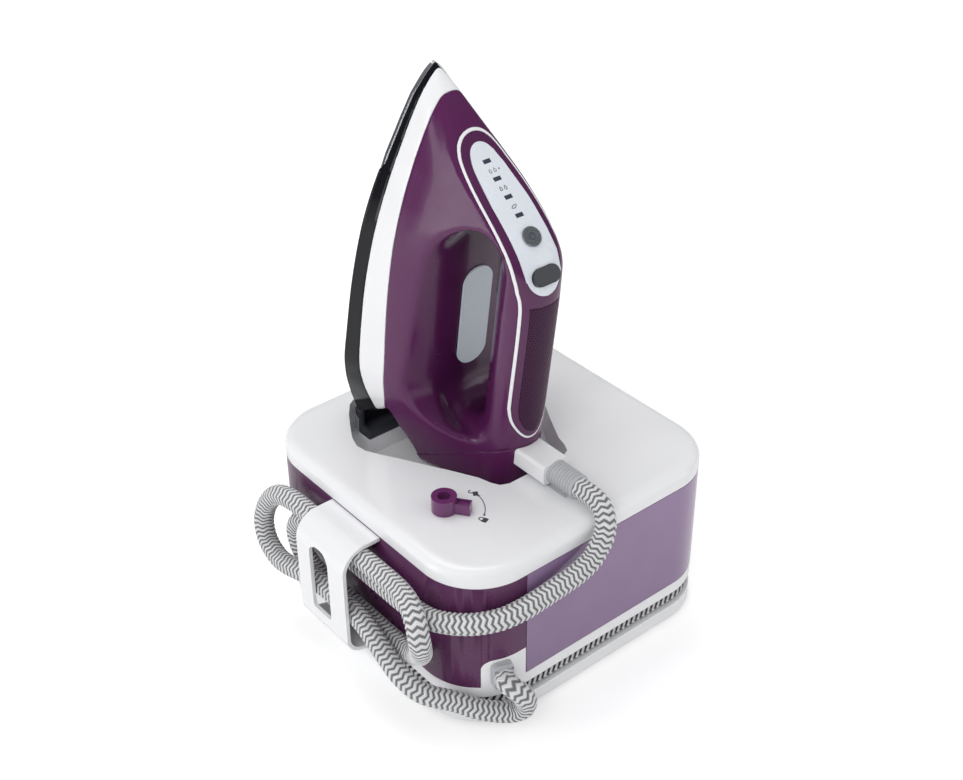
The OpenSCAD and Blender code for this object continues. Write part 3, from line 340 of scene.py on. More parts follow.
textile("cord_textile", light=(0.66, 0.66, 0.67), dark=(0.02, 0.02, 0.022), sharp=0.2,
        **CORD_KNIT)
metal("sole_metal", (0.76, 0.78, 0.82), rough=0.16, stretch=(60, 900, 60))
metal("cast_alloy", (0.55, 0.56, 0.57), rough=0.5)
metal("heater_steel", (0.2, 0.19, 0.19), rough=0.5)
metal("spring_steel", (0.6, 0.6, 0.62), rough=0.3)
metal("valve_brass", (0.72, 0.5, 0.22), rough=0.3)
plastic("coil_amber", (0.4, 0.13, 0.03), rough=0.3, coat=0.4)
plastic("inner_white", (0.7, 0.7, 0.69), rough=0.5, grain=0.3)
plastic("thermostat_tan", (0.4, 0.3, 0.17), rough=0.55, grain=0.5)
plastic("tube_silicone", (0.65, 0.64, 0.6), rough=0.45, subsurface=0.2)
metal("pipe_metal", (0.6, 0.6, 0.62), rough=0.25)
plastic("board_green", (0.02, 0.12, 0.04), rough=0.35, coat=0.3)
plastic("badge_grey", (0.56, 0.61, 0.67), rough=0.34, vary=0.02, wear=0)
plastic("window_dark", (0.03, 0.045, 0.07), rough=0.08, coat=0.8)
metal("key_metal", (0.44, 0.47, 0.50), rough=0.30)
plastic("key_glass", (0.008, 0.012, 0.02), rough=0.12, specular=0.45)
plastic("trigger_grey", (0.035, 0.034, 0.04), rough=0.35, vary=0.03)
plastic("mark_grey", (0.06, 0.065, 0.08), rough=0.45, vary=0.02, wear=0)

# ---------------------------------------------------------------- the CAD pieces
# piece: (edge radius in mm, segments)
ROUNDED = {
    "top_cover": (1.1, 4), "side_housing": (0.5, 3), "base_tray": (0.7, 3),
    "water_tank": (0.9, 3), "hose_clip": (0.9, 3), "rest_insert": (0.9, 3),
    "lock_knob": (0.9, 3), "hose_connector": (1.2, 4), "body_badge": (0.6, 3),
    "steam_trigger": (1.0, 3), "soleplate": (0.7, 3), "filler_flap": (0.5, 2),
    "hose_outlet_cuff": (0.8, 3), "iron_hose_cuff": (0.25, 2), "mode_button": (0.6, 3),
    "reset_button": (1.0, 4), "control_panel": (0.3, 2), "mains_plug": (0.8, 3),
    "rubber_feet": (0.5, 3)}


def round_edges(piece, width, segments):
    bevel = piece.modifiers.new("edge", "BEVEL")
    bevel.width = width / 1000
    bevel.segments = segments
    bevel.limit_method = "ANGLE"
    bevel.angle_limit = math.radians(32)
    bevel.harden_normals = True
    bevel.use_clamp_overlap = True
    piece.modifiers.new("wn", "WEIGHTED_NORMAL").keep_sharp = True


for name, piece in nodes.items():
    piece.data.materials.clear()
    piece.data.materials.append(MATERIALS[slot_of[name]])
    for polygon in piece.data.polygons:
        polygon.use_smooth = True
    piece.modifiers.new("weld", "WELD").merge_threshold = 2e-6
    if name in ROUNDED:
        round_edges(piece, *ROUNDED[name])
    else:
        piece.modifiers.new("split", "EDGE_SPLIT").split_angle = math.radians(35)


# ---------------------------------------------------------------- mesh and curve helpers
def add_object(name, data):
    made = bpy.data.objects.new(name, data)
    scene.collection.objects.link(made)
    return made


def mesh_object(name, points, faces, material, body=None, sharp=None, uv=None):
    """Smooth mesh from points in metres, riding on a body; edges over sharp degrees stay crisp."""
    mesh = bpy.data.meshes.new(name)
    mesh.from_pydata(np.asarray(points, float).tolist(), [],
                     [tuple(int(i) for i in face) for face in faces])
    mesh.validate()
    mesh.shade_smooth()
    if sharp:
        mesh.set_sharp_from_angle(angle=math.radians(sharp))
    if uv is not None:
        layer = mesh.uv_layers.new(name="UVMap")
        layer.data.foreach_set("uv", np.asarray(uv, np.float32).ravel())
    mesh.materials.append(MATERIALS[material])
    made = add_object(name, mesh)
    if body:
        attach(made, body)
    return made


def monotone(table):
    """Smooth curve through (x, y) rows that never overshoots them."""
    x, y = np.array(table, float).T
    h = np.diff(x)
    d = np.diff(y) / h
    slope = np.zeros_like(x)
    slope[0], slope[-1] = d[0], d[-1]
    for i in range(1, len(x) - 1):
        if d[i - 1] * d[i] > 0:
            w1, w2 = 2 * h[i] + h[i - 1], h[i] + 2 * h[i - 1]
            slope[i] = (w1 + w2) / (w1 / d[i - 1] + w2 / d[i])

    def curve(t):
        t = np.clip(np.asarray(t, float), x[0], x[-1])
        i = np.clip(np.searchsorted(x, t, side="right") - 1, 0, len(x) - 2)
        u = (t - x[i]) / h[i]
        return ((2 * u**3 - 3 * u**2 + 1) * y[i] + (u**3 - 2 * u**2 + u) * h[i] * slope[i]
                + (-2 * u**3 + 3 * u**2) * y[i + 1] + (u**3 - u**2) * h[i] * slope[i + 1])
    return curve


def spline(points, steps, closed=False):
    """Smooth line through the points, each span in so many steps."""
    p = np.asarray(points, float)
    n = len(p)
    out = []
    for i in range(n if closed else n - 1):
        if closed:
            a, b, c, d = (p[(i + k) % n] for k in (-1, 0, 1, 2))
        else:
            a, b, c, d = p[max(i - 1, 0)], p[i], p[i + 1], p[min(i + 2, n - 1)]
        for j in range(steps):
            t = j / steps
            out.append(0.5 * ((2 * b) + (c - a) * t + (2 * a - 5 * b + 4 * c - d) * t * t
                              + (3 * b - a - 3 * c + d) * t**3))
    if not closed:
        out.append(p[-1])
    return np.array(out)


def arc(centre, radius, start, end, steps):
    """Points (x, y) on an arc between two angles in degrees."""
    angles = [math.radians(start + (end - start) * i / steps) for i in range(steps + 1)]
    return [(centre[0] + radius * math.cos(a), centre[1] + radius * math.sin(a))
            for a in angles]


def lengths(path):
    """Distance along a path at each of its points."""
    return np.concatenate([[0], np.cumsum(np.linalg.norm(np.diff(path, axis=0), axis=1))])


def resample(path, step):
    along = lengths(path)
    count = max(2, int(round(along[-1] / step)) + 1)
    t = np.linspace(0, along[-1], count)
    return np.stack([np.interp(t, along, path[:, c]) for c in range(3)], 1)


# ---------------------------------------------------------------- the iron's section
# Each table: (s, value), in mm but for the last column of crown_power.
body_half_width = monotone([
    (0, 0.8), (1.8, 2.4), (7.5, 7.3), (16.8, 13.8), (30.3, 20.8), (42.3, 26.6), (52.6, 31.4),
    (68.9, 38.4), (86, 44.2), (103, 48.5), (125.7, 52.3), (146.4, 54.7), (177.7, 56.9),
    (198, 58), (211.3, 56.8), (230.8, 52.1), (250, 45.7), (275, 40)])
ridge = monotone([                      # height of the top
    (0, 3), (1, 5), (3.7, 9), (10.7, 19.3), (17, 28), (25.2, 38.4), (29.6, 43.6), (39.7, 56.4),
    (46, 66.9), (52.4, 78), (58.9, 88.9), (67.2, 101), (76, 111), (86.6, 118), (97.4, 121),
    (110, 122.3), (150, 123), (208, 123.5), (275, 124.5)])
crown_half_width = monotone([
    (0, 0.7), (1, 1.2), (3.7, 3), (10.7, 6.8), (17, 9.6), (25, 13), (33, 16.5), (40, 19.3),
    (54, 22), (80, 22.6), (95, 21), (115, 20), (215, 20), (275, 22)])
crown_depth = monotone([
    (0, 1), (3.7, 3), (10.7, 6), (25, 9), (40, 12), (60, 15), (80, 16.5), (100, 19), (275, 20)])
crown_power = monotone([                # superellipse power, 2 is an ellipse
    (0, 2), (25, 2.2), (40, 2.6), (75, 2.5), (100, 2.1), (275, 2)])
skirt_top = monotone([                  # height of the black skirt
    (0, 6.4), (3.93, 6.2), (7, 6.3), (21, 7.0), (33, 7.6), (41, 8.4), (58, 9.5), (76, 10.4),
    (95, 10.9), (116, 11), (137, 11.1), (159, 11.5), (182, 12.2), (201, 13.6), (217, 17),
    (229, 21), (236, 24)])
lower_top = monotone([                  # height of the white lower shell
    (0, 34), (7, 30), (9, 22), (10.7, 19.6), (14, 19), (19, 19.4), (27, 20.2), (36, 21),
    (53, 22.8), (70, 24.5), (88, 26.1), (108, 27.6), (128, 29.1), (149, 30.6), (171, 32.1),
    (193, 33.6), (212, 33.9), (222, 32.8), (234, 29.5)])
sole_half_width = monotone([
    (0, 0), (0.6, 1.4), (1.8, 2.9), (4.2, 5.6), (7.5, 8.4), (16.8, 15.2), (30.3, 21.8),
    (42.3, 27.1), (52.6, 31.8), (68.9, 37.4), (86, 41.8), (103, 45.8), (125.7, 49.6),
    (146.4, 52), (177.7, 54.2), (198, 55), (211.3, 54), (230.8, 49.4), (243, 43.5),
    (247.5, 38.5), (249, 33)])


class Section:
    """Cross-section at s: a flank drawn in to the shoulder, then a rounded crown."""

    def __init__(self, s):
        self.s = s
        self.foot = float(body_half_width(s))
        self.top = float(crown_half_width(s))
        self.shoulder = float(ridge(s) - crown_depth(s))
        self.rise = float(ridge(s)) - self.shoulder
        self.power = float(crown_power(s))

    def flank(self, h):
        """Half width at height h: straight up to the knee, curved above it."""
        knee = min(33.0, 0.62 * self.shoulder)
        if h < knee:
            return self.foot * (1 - 0.115 * h / knee)
        up = min(1, (h - knee) / (self.shoulder - knee))
        return self.top + (0.885 * self.foot - self.top) * (1 - up ** 1.25)

    def ring(self, half, crown_steps):
        """Closed ring of (x, h, s) from the lower half outline and the crown."""
        half = list(half)
        for j in range(crown_steps):
            a = math.pi / 2 * j / crown_steps
            half.append((self.top * math.cos(a) ** (2 / self.power),
                         self.shoulder + self.rise * math.sin(a) ** (2 / self.power)))
        s = self.s
        return ([(x, h, s) for x, h in half] + [(0, self.shoulder + self.rise, s)]
                + [(-x, h, s) for x, h in reversed(half)])


def body_ring(s, steps=44):
    section = Section(s)
    heights = [section.shoulder * j / steps for j in range(steps)]
    return section.ring([(section.flank(h), h) for h in heights], 26)


def foot_ring(s):
    """The section with a rounded lower edge, underside points and close rows near the sole."""
    section = Section(s)
    shoulder, foot, sole = section.shoulder, section.foot, float(sole_half_width(s))
    k = min(0.7, 0.4 * foot)            # radius of the lower edge
    half = [(max(0.05, min(foot - k - 0.05, sole - 1.0)), 0.0),
            (min(foot - k, sole + 0.35), 0.0)]
    half += [(foot - k + k * math.sin(a), k - k * math.cos(a))
             for a in np.linspace(0.15, 1.45, 5)]
    dense_top = min(31.0, 0.9 * shoulder)
    for h in np.concatenate([np.linspace(min(1.2, 0.4 * shoulder), dense_top, 26),
                             np.linspace(dense_top, shoulder, 7)[1:-1]]):
        half.append((section.flank(h), h))
    return section.ring(half, 12)


def crown_height(x, s):
    """Height of the crown's surface."""
    depth, power = crown_depth(s), crown_power(s)
    across = np.minimum(1, np.abs(x) / crown_half_width(s))
    return ridge(s) - depth + depth * np.maximum(0, 1 - across ** power) ** (1 / power)


# ---------------------------------------------------------------- the iron's solid
def skin(rings):
    """Points and faces of a solid through the rings."""
    m, n = len(rings), len(rings[0])
    faces = [tuple(range(n))[::-1], tuple((m - 1) * n + i for i in range(n))]
    for k in range(m - 1):
        for i in range(n):
            j = (i + 1) % n
            faces.append((k * n + i, k * n + j, (k + 1) * n + j, (k + 1) * n + i))
    return [p for ring in rings for p in ring], faces


def prism(outline, half_width):
    """Solid with an (h, s) outline, from -half_width to half_width across."""
    n = len(outline)
    points = [(x, h, s) for x in (-half_width, half_width) for h, s in outline]
    faces = [tuple(range(n)), tuple(range(2 * n - 1, n - 1, -1))]
    faces += [(i, (i + 1) % n, n + (i + 1) % n, n + i) for i in range(n)]
    return points, faces


def solid(name, points, faces):
    """Temporary object in the iron's frame."""
    mesh = bpy.data.meshes.new(name)
    mesh.from_pydata(np.asarray(points, float).tolist(), [], faces)
    made = add_object(name, mesh)
    bm = bmesh.new()
    bm.from_mesh(mesh)
    bmesh.ops.recalc_face_normals(bm, faces=bm.faces)
    bm.to_mesh(mesh)
    bm.free()
    return made


def add_boolean(target, operation, other):
    boolean = target.modifiers.new(operation, "BOOLEAN")
    boolean.operation = operation
    boolean.object = other
    boolean.solver = "EXACT"


def evaluated(target):
    depsgraph = bpy.context.evaluated_depsgraph_get()
    return bpy.data.meshes.new_from_object(target.evaluated_get(depsgraph))


def arrays(mesh):
    """Vertex and triangle arrays of a triangle mesh."""
    points = np.zeros(len(mesh.vertices) * 3)
    mesh.vertices.foreach_get("co", points)
    tris = np.zeros(len(mesh.polygons) * 3, int)
    mesh.polygons.foreach_get("vertices", tris)
    return points.reshape(-1, 3), tris.reshape(-1, 3)


def triangulate(mesh):
    bm = bmesh.new()
    bm.from_mesh(mesh)
    bmesh.ops.triangulate(bm, faces=bm.faces)
    bm.to_mesh(mesh)
    bm.free()


def opening_ring(x, corner_steps=22):
    """The hand opening's rounded rectangle at x, wider toward both sides."""
    a = abs(x)
    # flare widens it all round, rise lifts its upper edge into the handle's flank
    flare = 0 if a < 7 else (3.2 * min(1.0, (a - 7) / 30.0)
                             + 5.6 * max(0.0, min(1.4, (a - 27) / 16.0)) ** 1.6)
    rise = 0 if a < 8 else 17.0 * min(1.5, (a - 8) / 12.0) ** 1.9
    h0, h1 = 58 - flare, 88 + rise
    s0, s1 = 70 - 0.25 * flare - 0.04 * rise, 213 + 0.9 * flare + 0.3 * min(rise, 17)
    r = min(14.9 + flare + 0.35 * rise, (h1 - h0) / 2 - 0.1)
    ring = []
    for quarter, (sh, ss) in enumerate(((1, 1), (-1, 1), (-1, -1), (1, -1))):
        for j in range(corner_steps):
            t = math.pi / 2 * (quarter + j / (corner_steps - 1))
            ring.append((x, (h0 + h1) / 2 + sh * ((h1 - h0) / 2 - r) + r * math.cos(t),
                         (s0 + s1) / 2 + ss * ((s1 - s0) / 2 - r) + r * math.sin(t)))
    return ring


# (h, s): side outline the section is cut to; its last side but one slopes across the heel
SIDE = [(-1, -2), (-1, 250), (3, 250), (28, 231), (34, 225), (52, 257), (53.2, 262.1),
        (140, 249.9), (140, -2)]
BODY_STATIONS = np.unique(np.concatenate(
    [[0.2, 0.8, 1.4], np.arange(2, 30, 1.0), np.arange(30, 272.5, 1.8)]))
FOOT_STATIONS = np.concatenate(
    [[0.2, 0.6, 1.1, 1.7, 2.4, 3.2, 4.1], np.arange(5, 30, 1.0), np.arange(30, 252, 1.5)])
OPENING_STATIONS = np.unique(np.concatenate(
    [np.linspace(-64, 64, 57), np.linspace(-24, 24, 49)]))


def build_solids():
    """Arrays of the remeshed body with its hand opening, and of the finer foot."""
    body = solid("body_raw", *skin([body_ring(s) for s in BODY_STATIONS]))
    opening = solid("cut_raw", *skin([opening_ring(x) for x in OPENING_STATIONS]))
    side = solid("side_raw", *prism(SIDE, 90))
    add_boolean(body, "INTERSECT", side)
    add_boolean(body, "DIFFERENCE", opening)
    work = add_object("work", evaluated(body))
    remesh = work.modifiers.new("rm", "REMESH")
    remesh.mode = "VOXEL"
    remesh.voxel_size = 1.25
    remesh.adaptivity = 0
    work.modifiers.new("tri", "TRIANGULATE")
    body_arrays = arrays(evaluated(work))
    for used in (body, opening, work):
        bpy.data.objects.remove(used)

    foot = solid("foot_raw", *skin([foot_ring(s) for s in FOOT_STATIONS]))
    add_boolean(foot, "INTERSECT", side)
    foot_mesh = evaluated(foot)
    triangulate(foot_mesh)
    for used in (foot, side):
        bpy.data.objects.remove(used)
    return body_arrays, arrays(foot_mesh)


def relax(points, tris, rounds, weight):
    """Moves each point halfway to its neighbours' mean, times its weight."""
    edges = np.concatenate([tris[:, [0, 1]], tris[:, [1, 2]], tris[:, [2, 0]]])
    a, b = np.unique(np.sort(edges, 1), axis=0).T
    n = len(points)
    degree = (np.bincount(a, minlength=n) + np.bincount(b, minlength=n)).astype(float)[:, None]
    for _ in range(rounds):
        total = np.zeros_like(points)
        for k in range(3):
            total[:, k] = np.bincount(a, points[b, k], n) + np.bincount(b, points[a, k], n)
        points = points + 0.5 * weight[:, None] * (total / np.maximum(degree, 1) - points)
    return points


(body_points, body_tris), (foot_points, foot_tris) = build_solids()
# the tip and the underside are smoothed less, to keep their shape
tip_weight = np.clip((body_points[:, 2] - 2) / 20, 0.0, 1)
sole_weight = np.clip((body_points[:, 1] - 0.5) / 4, 0.0, 1)
body_points = relax(body_points, body_tris, 10,
                    0.15 + 0.85 * tip_weight * np.maximum(sole_weight, 0.1))
# extra rounding of the hand opening's rim
_, h, s = body_points.T
rim = (h > 42) & (h < 111) & (s > 52) & (s < 236) & (ridge(s) - h > 9)
body_points = relax(body_points, body_tris, 7, rim * 1.0)

# ---------------------------------------------------------------- parting into mouldings
# (s, half width): outline of the inlay along the iron's top
INLAY = [(25.4, 0), (25.9, 4), (27.2, 7.6), (29.4, 10.8), (33, 14), (40, 17.2), (54, 20),
         (80, 20.6), (93, 19), (110, 17), (174, 17), (184, 16.7), (192, 15.3), (198.5, 12.4),
         (203.4, 8.8), (206.8, 4.6), (207.8, 0)]
inlay_outline = spline([(x, s) for s, x in INLAY] + [(-x, s) for s, x in INLAY[-2:0:-1]], 8,
                       closed=True)


def inside_distance(points, outline):
    """Distance to a closed outline, positive inside it."""
    nearest = np.full(len(points), 1e9)
    inside = np.zeros(len(points), bool)
    for a, b in zip(outline, np.roll(outline, -1, 0)):
        d = b - a
        t = np.clip(((points - a) @ d) / (d @ d), 0, 1)
        nearest = np.minimum(nearest, np.hypot(*(points - a - t[:, None] * d).T))
        crosses = (a[1] > points[:, 1]) != (b[1] > points[:, 1])
        with np.errstate(divide="ignore", invalid="ignore"):
            x = (b[0] - a[0]) * (points[:, 1] - a[1]) / (b[1] - a[1]) + a[0]
        inside ^= crosses & (points[:, 0] < x)
    return np.where(inside, nearest, -nearest)


# columns of the field table, after x, h and s; each field is 0 on its seam
SKIRT_SEAM, LOWER_SEAM, HEEL_SEAM, INLAY_EDGE, PANEL_EDGE, GRIP_EDGE, SOLE_EDGE = range(3, 10)
ABOVE, BELOW = 1, -1


def with_fields(points):
    x, h, s = points.T
    # the heel seam slopes from s 260.4 at h 48 to s 201.2 at h 140
    heel = np.where(h < 40, -5, s - (260.4 + (h - 48) * (201.2 - 260.4) / 92))
    inlay = np.full(len(points), -6.0)
    top = h > ridge(s) - 18
    below_crown = np.maximum(0, crown_height(x, s)[top] - 2.4 - h[top])
    inlay[top] = (inside_distance(np.stack([x[top], s[top]], 1), inlay_outline)
                  - 1.2 * below_crown)
    inlay = np.maximum(inlay, -6)
    # inside the band: an area ending in a 13.2 mm round at s 84, and the grip beyond s 104
    panel = np.minimum(inlay - 6.4, np.maximum(87 - s, 13.2 - np.hypot(x, s - 84)))
    grip = np.minimum(inlay - 5.66, s - 104.06)
    sole = np.maximum(h - 1.6, np.abs(x) - sole_half_width(s) - 0.35)
    sole = np.where(s > 249, np.maximum(sole, 1), sole)
    return np.column_stack([points, h - skirt_top(s), h - lower_top(s), heel, inlay, panel,
                            grip, sole])


def clip(table, tris, field):
    """Keeps the part where field > 0, cutting triangles on the line field = 0."""
    inside = field > 0
    count = inside[tris].sum(1)

    def turned(group, first):
        rows = np.arange(len(group))
        return [group[rows, (first + k) % 3] for k in range(3)]

    one, two = tris[count == 1], tris[count == 2]
    p, q, r = turned(one, inside[one].argmax(1))
    n, a, b = turned(two, (~inside[two]).argmax(1))
    edges = np.concatenate([np.stack(e, 1) for e in ((p, q), (p, r), (n, a), (n, b))])
    if len(edges) == 0:
        new = np.zeros((0, table.shape[1]))
        at = np.zeros(0, int)
    else:
        ends, at = np.unique(np.sort(edges, 1), axis=0, return_inverse=True)
        at = at.ravel()
        i, j = ends.T
        t = np.clip((field[i] / (field[i] - field[j]))[:, None], 0.002, 0.998)
        new = table[i] + t * (table[j] - table[i])
    pq, pr, na, nb = np.split(at + len(table), np.cumsum([len(one), len(one), len(two)]))
    kept = np.concatenate([tris[count == 3], np.stack([p, pq, pr], 1),
                           np.stack([na, a, b], 1), np.stack([na, b, nb], 1)])
    table = np.concatenate([table, new])
    used = np.unique(kept)
    renumber = np.full(len(table), -1)
    renumber[used] = np.arange(len(used))
    return table[used], renumber[kept]


def shell(outer, tris, wall, dip):
    """Gives a surface its wall; its border is lowered by dip."""
    points = outer.copy()
    face_normals = np.cross(points[tris[:, 1]] - points[tris[:, 0]],
                            points[tris[:, 2]] - points[tris[:, 0]])
    normals = np.zeros_like(points)
    for k in range(3):
        for c in range(3):
            normals[:, c] += np.bincount(tris[:, k], face_normals[:, c], len(points))
    normals /= np.maximum(np.linalg.norm(normals, axis=1), 1e-12)[:, None]
    edges = np.concatenate([tris[:, [0, 1]], tris[:, [1, 2]], tris[:, [2, 0]]])
    _, first, uses = np.unique(np.sort(edges, 1), axis=0, return_index=True,
                               return_counts=True)
    border = edges[first[uses == 1]]
    inner = points - wall * normals
    rim = np.unique(border)
    points[rim] -= dip * normals[rim]
    m = len(points)
    a, b = border.T
    faces = ([tuple(f) for f in tris] + [tuple(f[::-1] + m) for f in tris]
             + [tuple(f) for f in np.stack([b, a, a + m, b + m], 1)])
    return np.concatenate([points, inner]), faces


BODY = (with_fields(body_points), body_tris)
FOOT = (with_fields(foot_points), foot_tris)


def moulding(name, node, material, cuts, source=BODY, dot_pitch=None, dip=0.22):
    """One moulding of the iron; cuts are (field, side kept, offset)."""
    table, tris = source
    for column, side, offset in cuts:
        table, tris = clip(table, tris, side * (table[:, column] - offset))
    points, faces = shell(table[:, :3], tris, wall=1.6, dip=dip)
    uv = None
    if dot_pitch:
        flat = np.concatenate([table[:, :3], table[:, :3]])
        corners = np.array([i for face in faces for i in face])
        uv = np.stack([flat[corners, 2] / dot_pitch, flat[corners, 0] / dot_pitch], 1)
    made = mesh_object(name, to_world(from_iron(points)), faces, material, "iron", 48, uv)
    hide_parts(node)


GAP = 0.13                              # from a seam to the moulding's edge
moulding("skirt_moulding", "sole_skirt", "black_satin",
         [(SOLE_EDGE, ABOVE, 0), (SKIRT_SEAM, BELOW, -GAP)], source=FOOT)
moulding("lower_moulding", "lower_shell", "white_gloss",
         [(SKIRT_SEAM, ABOVE, GAP), (LOWER_SEAM, BELOW, -GAP)])
moulding("upper_moulding", "upper_shell", "body_plum",
         [(LOWER_SEAM, ABOVE, GAP), (HEEL_SEAM, BELOW, -GAP), (INLAY_EDGE, BELOW, 0.5)])
moulding("heel_moulding", "heel_cover", "body_plum",
         [(LOWER_SEAM, ABOVE, GAP), (HEEL_SEAM, ABOVE, GAP), (INLAY_EDGE, BELOW, 0.5)])
moulding("ring_moulding", "handle_trim_ring", "white_gloss",
         [(INLAY_EDGE, ABOVE, 0.58), (INLAY_EDGE, BELOW, 1.92)], dip=0.1)
moulding("band_moulding", "handle_band", "band_plum",
         [(INLAY_EDGE, ABOVE, 2.0), (PANEL_EDGE, BELOW, -0.06), (GRIP_EDGE, BELOW, -0.06)],
         dip=0.15)
moulding("grip_moulding", "handle_grip", "grip_plum", [(GRIP_EDGE, ABOVE, 0.06)],
         dot_pitch=1.9)


# ---------------------------------------------------------------- hose and cord
def tube(name, path, radius, sides, pitch, relief, knit, material, start=0.0, up=(0, 0, 1)):
    """Tube whose zigzag knit stands proud by relief; returns it, its length and last up."""
    tangents = np.gradient(path, axis=0)
    tangents /= np.linalg.norm(tangents, axis=1)[:, None]
    along = lengths(path)
    u = (start + along) / pitch
    m, n = len(path), sides
    angles = np.arange(n) * 2 * math.pi / n
    zigzag = 1 - np.abs(((np.arange(n) / n * knit["cells"] * 2) % 2) - 1)
    points = np.zeros((m, n, 3))
    up = np.array(up, float)
    for i, tangent in enumerate(tangents):
        up = up - (up @ tangent) * tangent
        up /= np.linalg.norm(up)
        across = np.cross(tangent, up)
        phase = (u[i] + knit["zig"] * zigzag) % 1.0
        r = radius - relief * np.cos(2 * math.pi * phase)
        points[i] = path[i] + r[:, None] * (np.cos(angles)[:, None] * up
                                            + np.sin(angles)[:, None] * across)
    faces, uv = [], []
    for i in range(m - 1):
        for k in range(n):
            j = (k + 1) % n
            faces.append((i * n + k, i * n + j, (i + 1) * n + j, (i + 1) * n + k))
            uv += [(u[i], k / n), (u[i], (k + 1) / n),
                   (u[i + 1], (k + 1) / n), (u[i + 1], k / n)]
    faces += [tuple(range(n))[::-1], tuple((m - 1) * n + k for k in range(n))]
    uv += [(u[0], 0.5)] * n + [(u[-1], 0.5)] * n
    made = mesh_object(name, to_world(points.reshape(-1, 3)), faces, material, sharp=60, uv=uv)
    return made, along[-1], up


def round_corner(radius, degrees, z):
    """Point on a turn round the station's -X, -Y corner; 0 degrees faces -Y."""
    a = math.radians(degrees)
    return (-68 - radius * math.sin(a), -68 - radius * math.cos(a), z)


HOSE_SPLIT = (-46, -117.6, 98.5)        # the lead to the iron ends, the stored part starts
# (x, y, z) from the iron's heel, round the station in loops, to its clipped end
HOSE = [
    (0, -86.3, 133), (0, -90, 133), (0, -98, 132.9), (-1, -107, 131), (-4, -113.8, 126),
    (-8, -117.2, 118.8), (-13, -118.2, 112.5), (-20, -118.8, 106), (-32, -118.5, 101.3),
    HOSE_SPLIT, (-60, -117, 96.5), round_corner(48.6, 5, 95.3), round_corner(48.6, 22, 93.5),
    round_corner(48.6, 40, 91.8), round_corner(48.6, 58, 90), round_corner(48.6, 76, 88),
    (-116.6, -62, 86.8), (-116.6, -35, 86.3), (-116.6, -5, 86), (-116.6, 25, 86),
    (-116.8, 46, 84.5), (-117.3, 57, 78), (-117.4, 61, 68), (-117.3, 57, 56),
    (-116.9, 46, 47.8), (-116.6, 30, 45.6), (-116.6, 5, 45.5), (-116.6, -22, 45.5),
    (-116.6, -45, 45.7), (-117.2, -60, 48), (-118.6, -71, 53.8), (-122, -80, 63),
    (-126.6, -86.5, 74.5), (-129.2, -88.5, 86), (-128, -84, 95.5), (-124.4, -73, 100.3),
    (-121.8, -57, 100.8), (-121.6, -30, 100.8), (-121.6, 0, 100.8), (-121.6, 30, 100.8),
    (-121.8, 55, 100), (-122.5, 72, 94.5), (-124.4, 83, 82), (-126.8, 86.5, 67),
    (-129, 80, 54.5), (-130.6, 66, 50), (-130.9, 52, 51.6), (-129.8, 40, 54.3),
    (-128.3, 29, 56.3), (-127.9, 14, 57.2), (-127.9, -8, 57.4), (-128.2, -26, 57),
    (-129.8, -42, 54), (-130.9, -57, 48.5), (-130.4, -71, 42), (-124.5, -84, 34.5),
    round_corner(50.5, 56, 27.8), round_corner(49, 40, 21.8), round_corner(49.4, 25, 17.8),
    (-81, -118.2, 16.8), (-76.6, -122.8, 21), (-76.4, -125.2, 28.5), (-79.6, -124.9, 36),
    (-83.2, -121, 40.8), (-84, -116.3, 42), (-83.22, -113.91, 42), (-82.46, -111.53, 42)]


def build_hose():
    path = resample(spline(HOSE, 24), 0.62)
    split = int(np.argmin(np.linalg.norm(path - np.array(HOSE_SPLIT), axis=1)))
    look = dict(radius=6.62, sides=50, pitch=3.55, relief=0.27,
                knit=HOSE_KNIT, material="hose_textile")
    lead, length, up = tube("steam_hose_lead", path[:split + 1], **look)
    store, _, _ = tube("steam_hose_store", path[split:], start=length, up=up, **look)
    tuple(to_world((0, -92, 132)))
    tuple(to_world((-44, -117.6, 99)))
    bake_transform(lead)
    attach(store, "station")
    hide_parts("steam_hose")


def build_cord():
    """Mains cord: out toward +Y, once round the base, then up to its end."""
    z, inset, bend = 17.7, 5.5, 8
    edge, corner = BASE_HALF - inset, BASE_HALF - BASE_CORNER
    flat = [(-22, 78), (-22, 90)] + arc((-22 - bend, edge - bend), bend, 0, 90, 8)
    for sx, sy, start in ((-1, 1, 90), (-1, -1, 180), (1, -1, 270), (1, 1, 0)):
        flat += arc((sx * corner, sy * corner), BASE_CORNER - inset, start, start + 90, 24)
    tail = spline([(65, edge, z), (61.5, 103.2, 18.1), (58, 100.5, 20), (55.5, 95.5, 24),
                   (53, 90.8, 27.6), (49.8, 88.3, 28.9), (47, 88, 29), (44.7, 88, 29)], 8)
    path = resample(np.concatenate([[(x, y, z) for x, y in flat], tail]), 0.9)
    cord, _, _ = tube("mains_cord_sleeve", path, radius=4.62, sides=36,
                      pitch=4.6, relief=0.16, knit=CORD_KNIT, material="cord_textile")
    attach(cord, "station")
    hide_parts("mains_cord")


build_hose()
build_cord()

# ---------------------------------------------------------------- printed marks
# A place function maps (u, v, height) on a flat drawing to base-centred mm.
SUNK = -0.05                            # height of a mark's underside


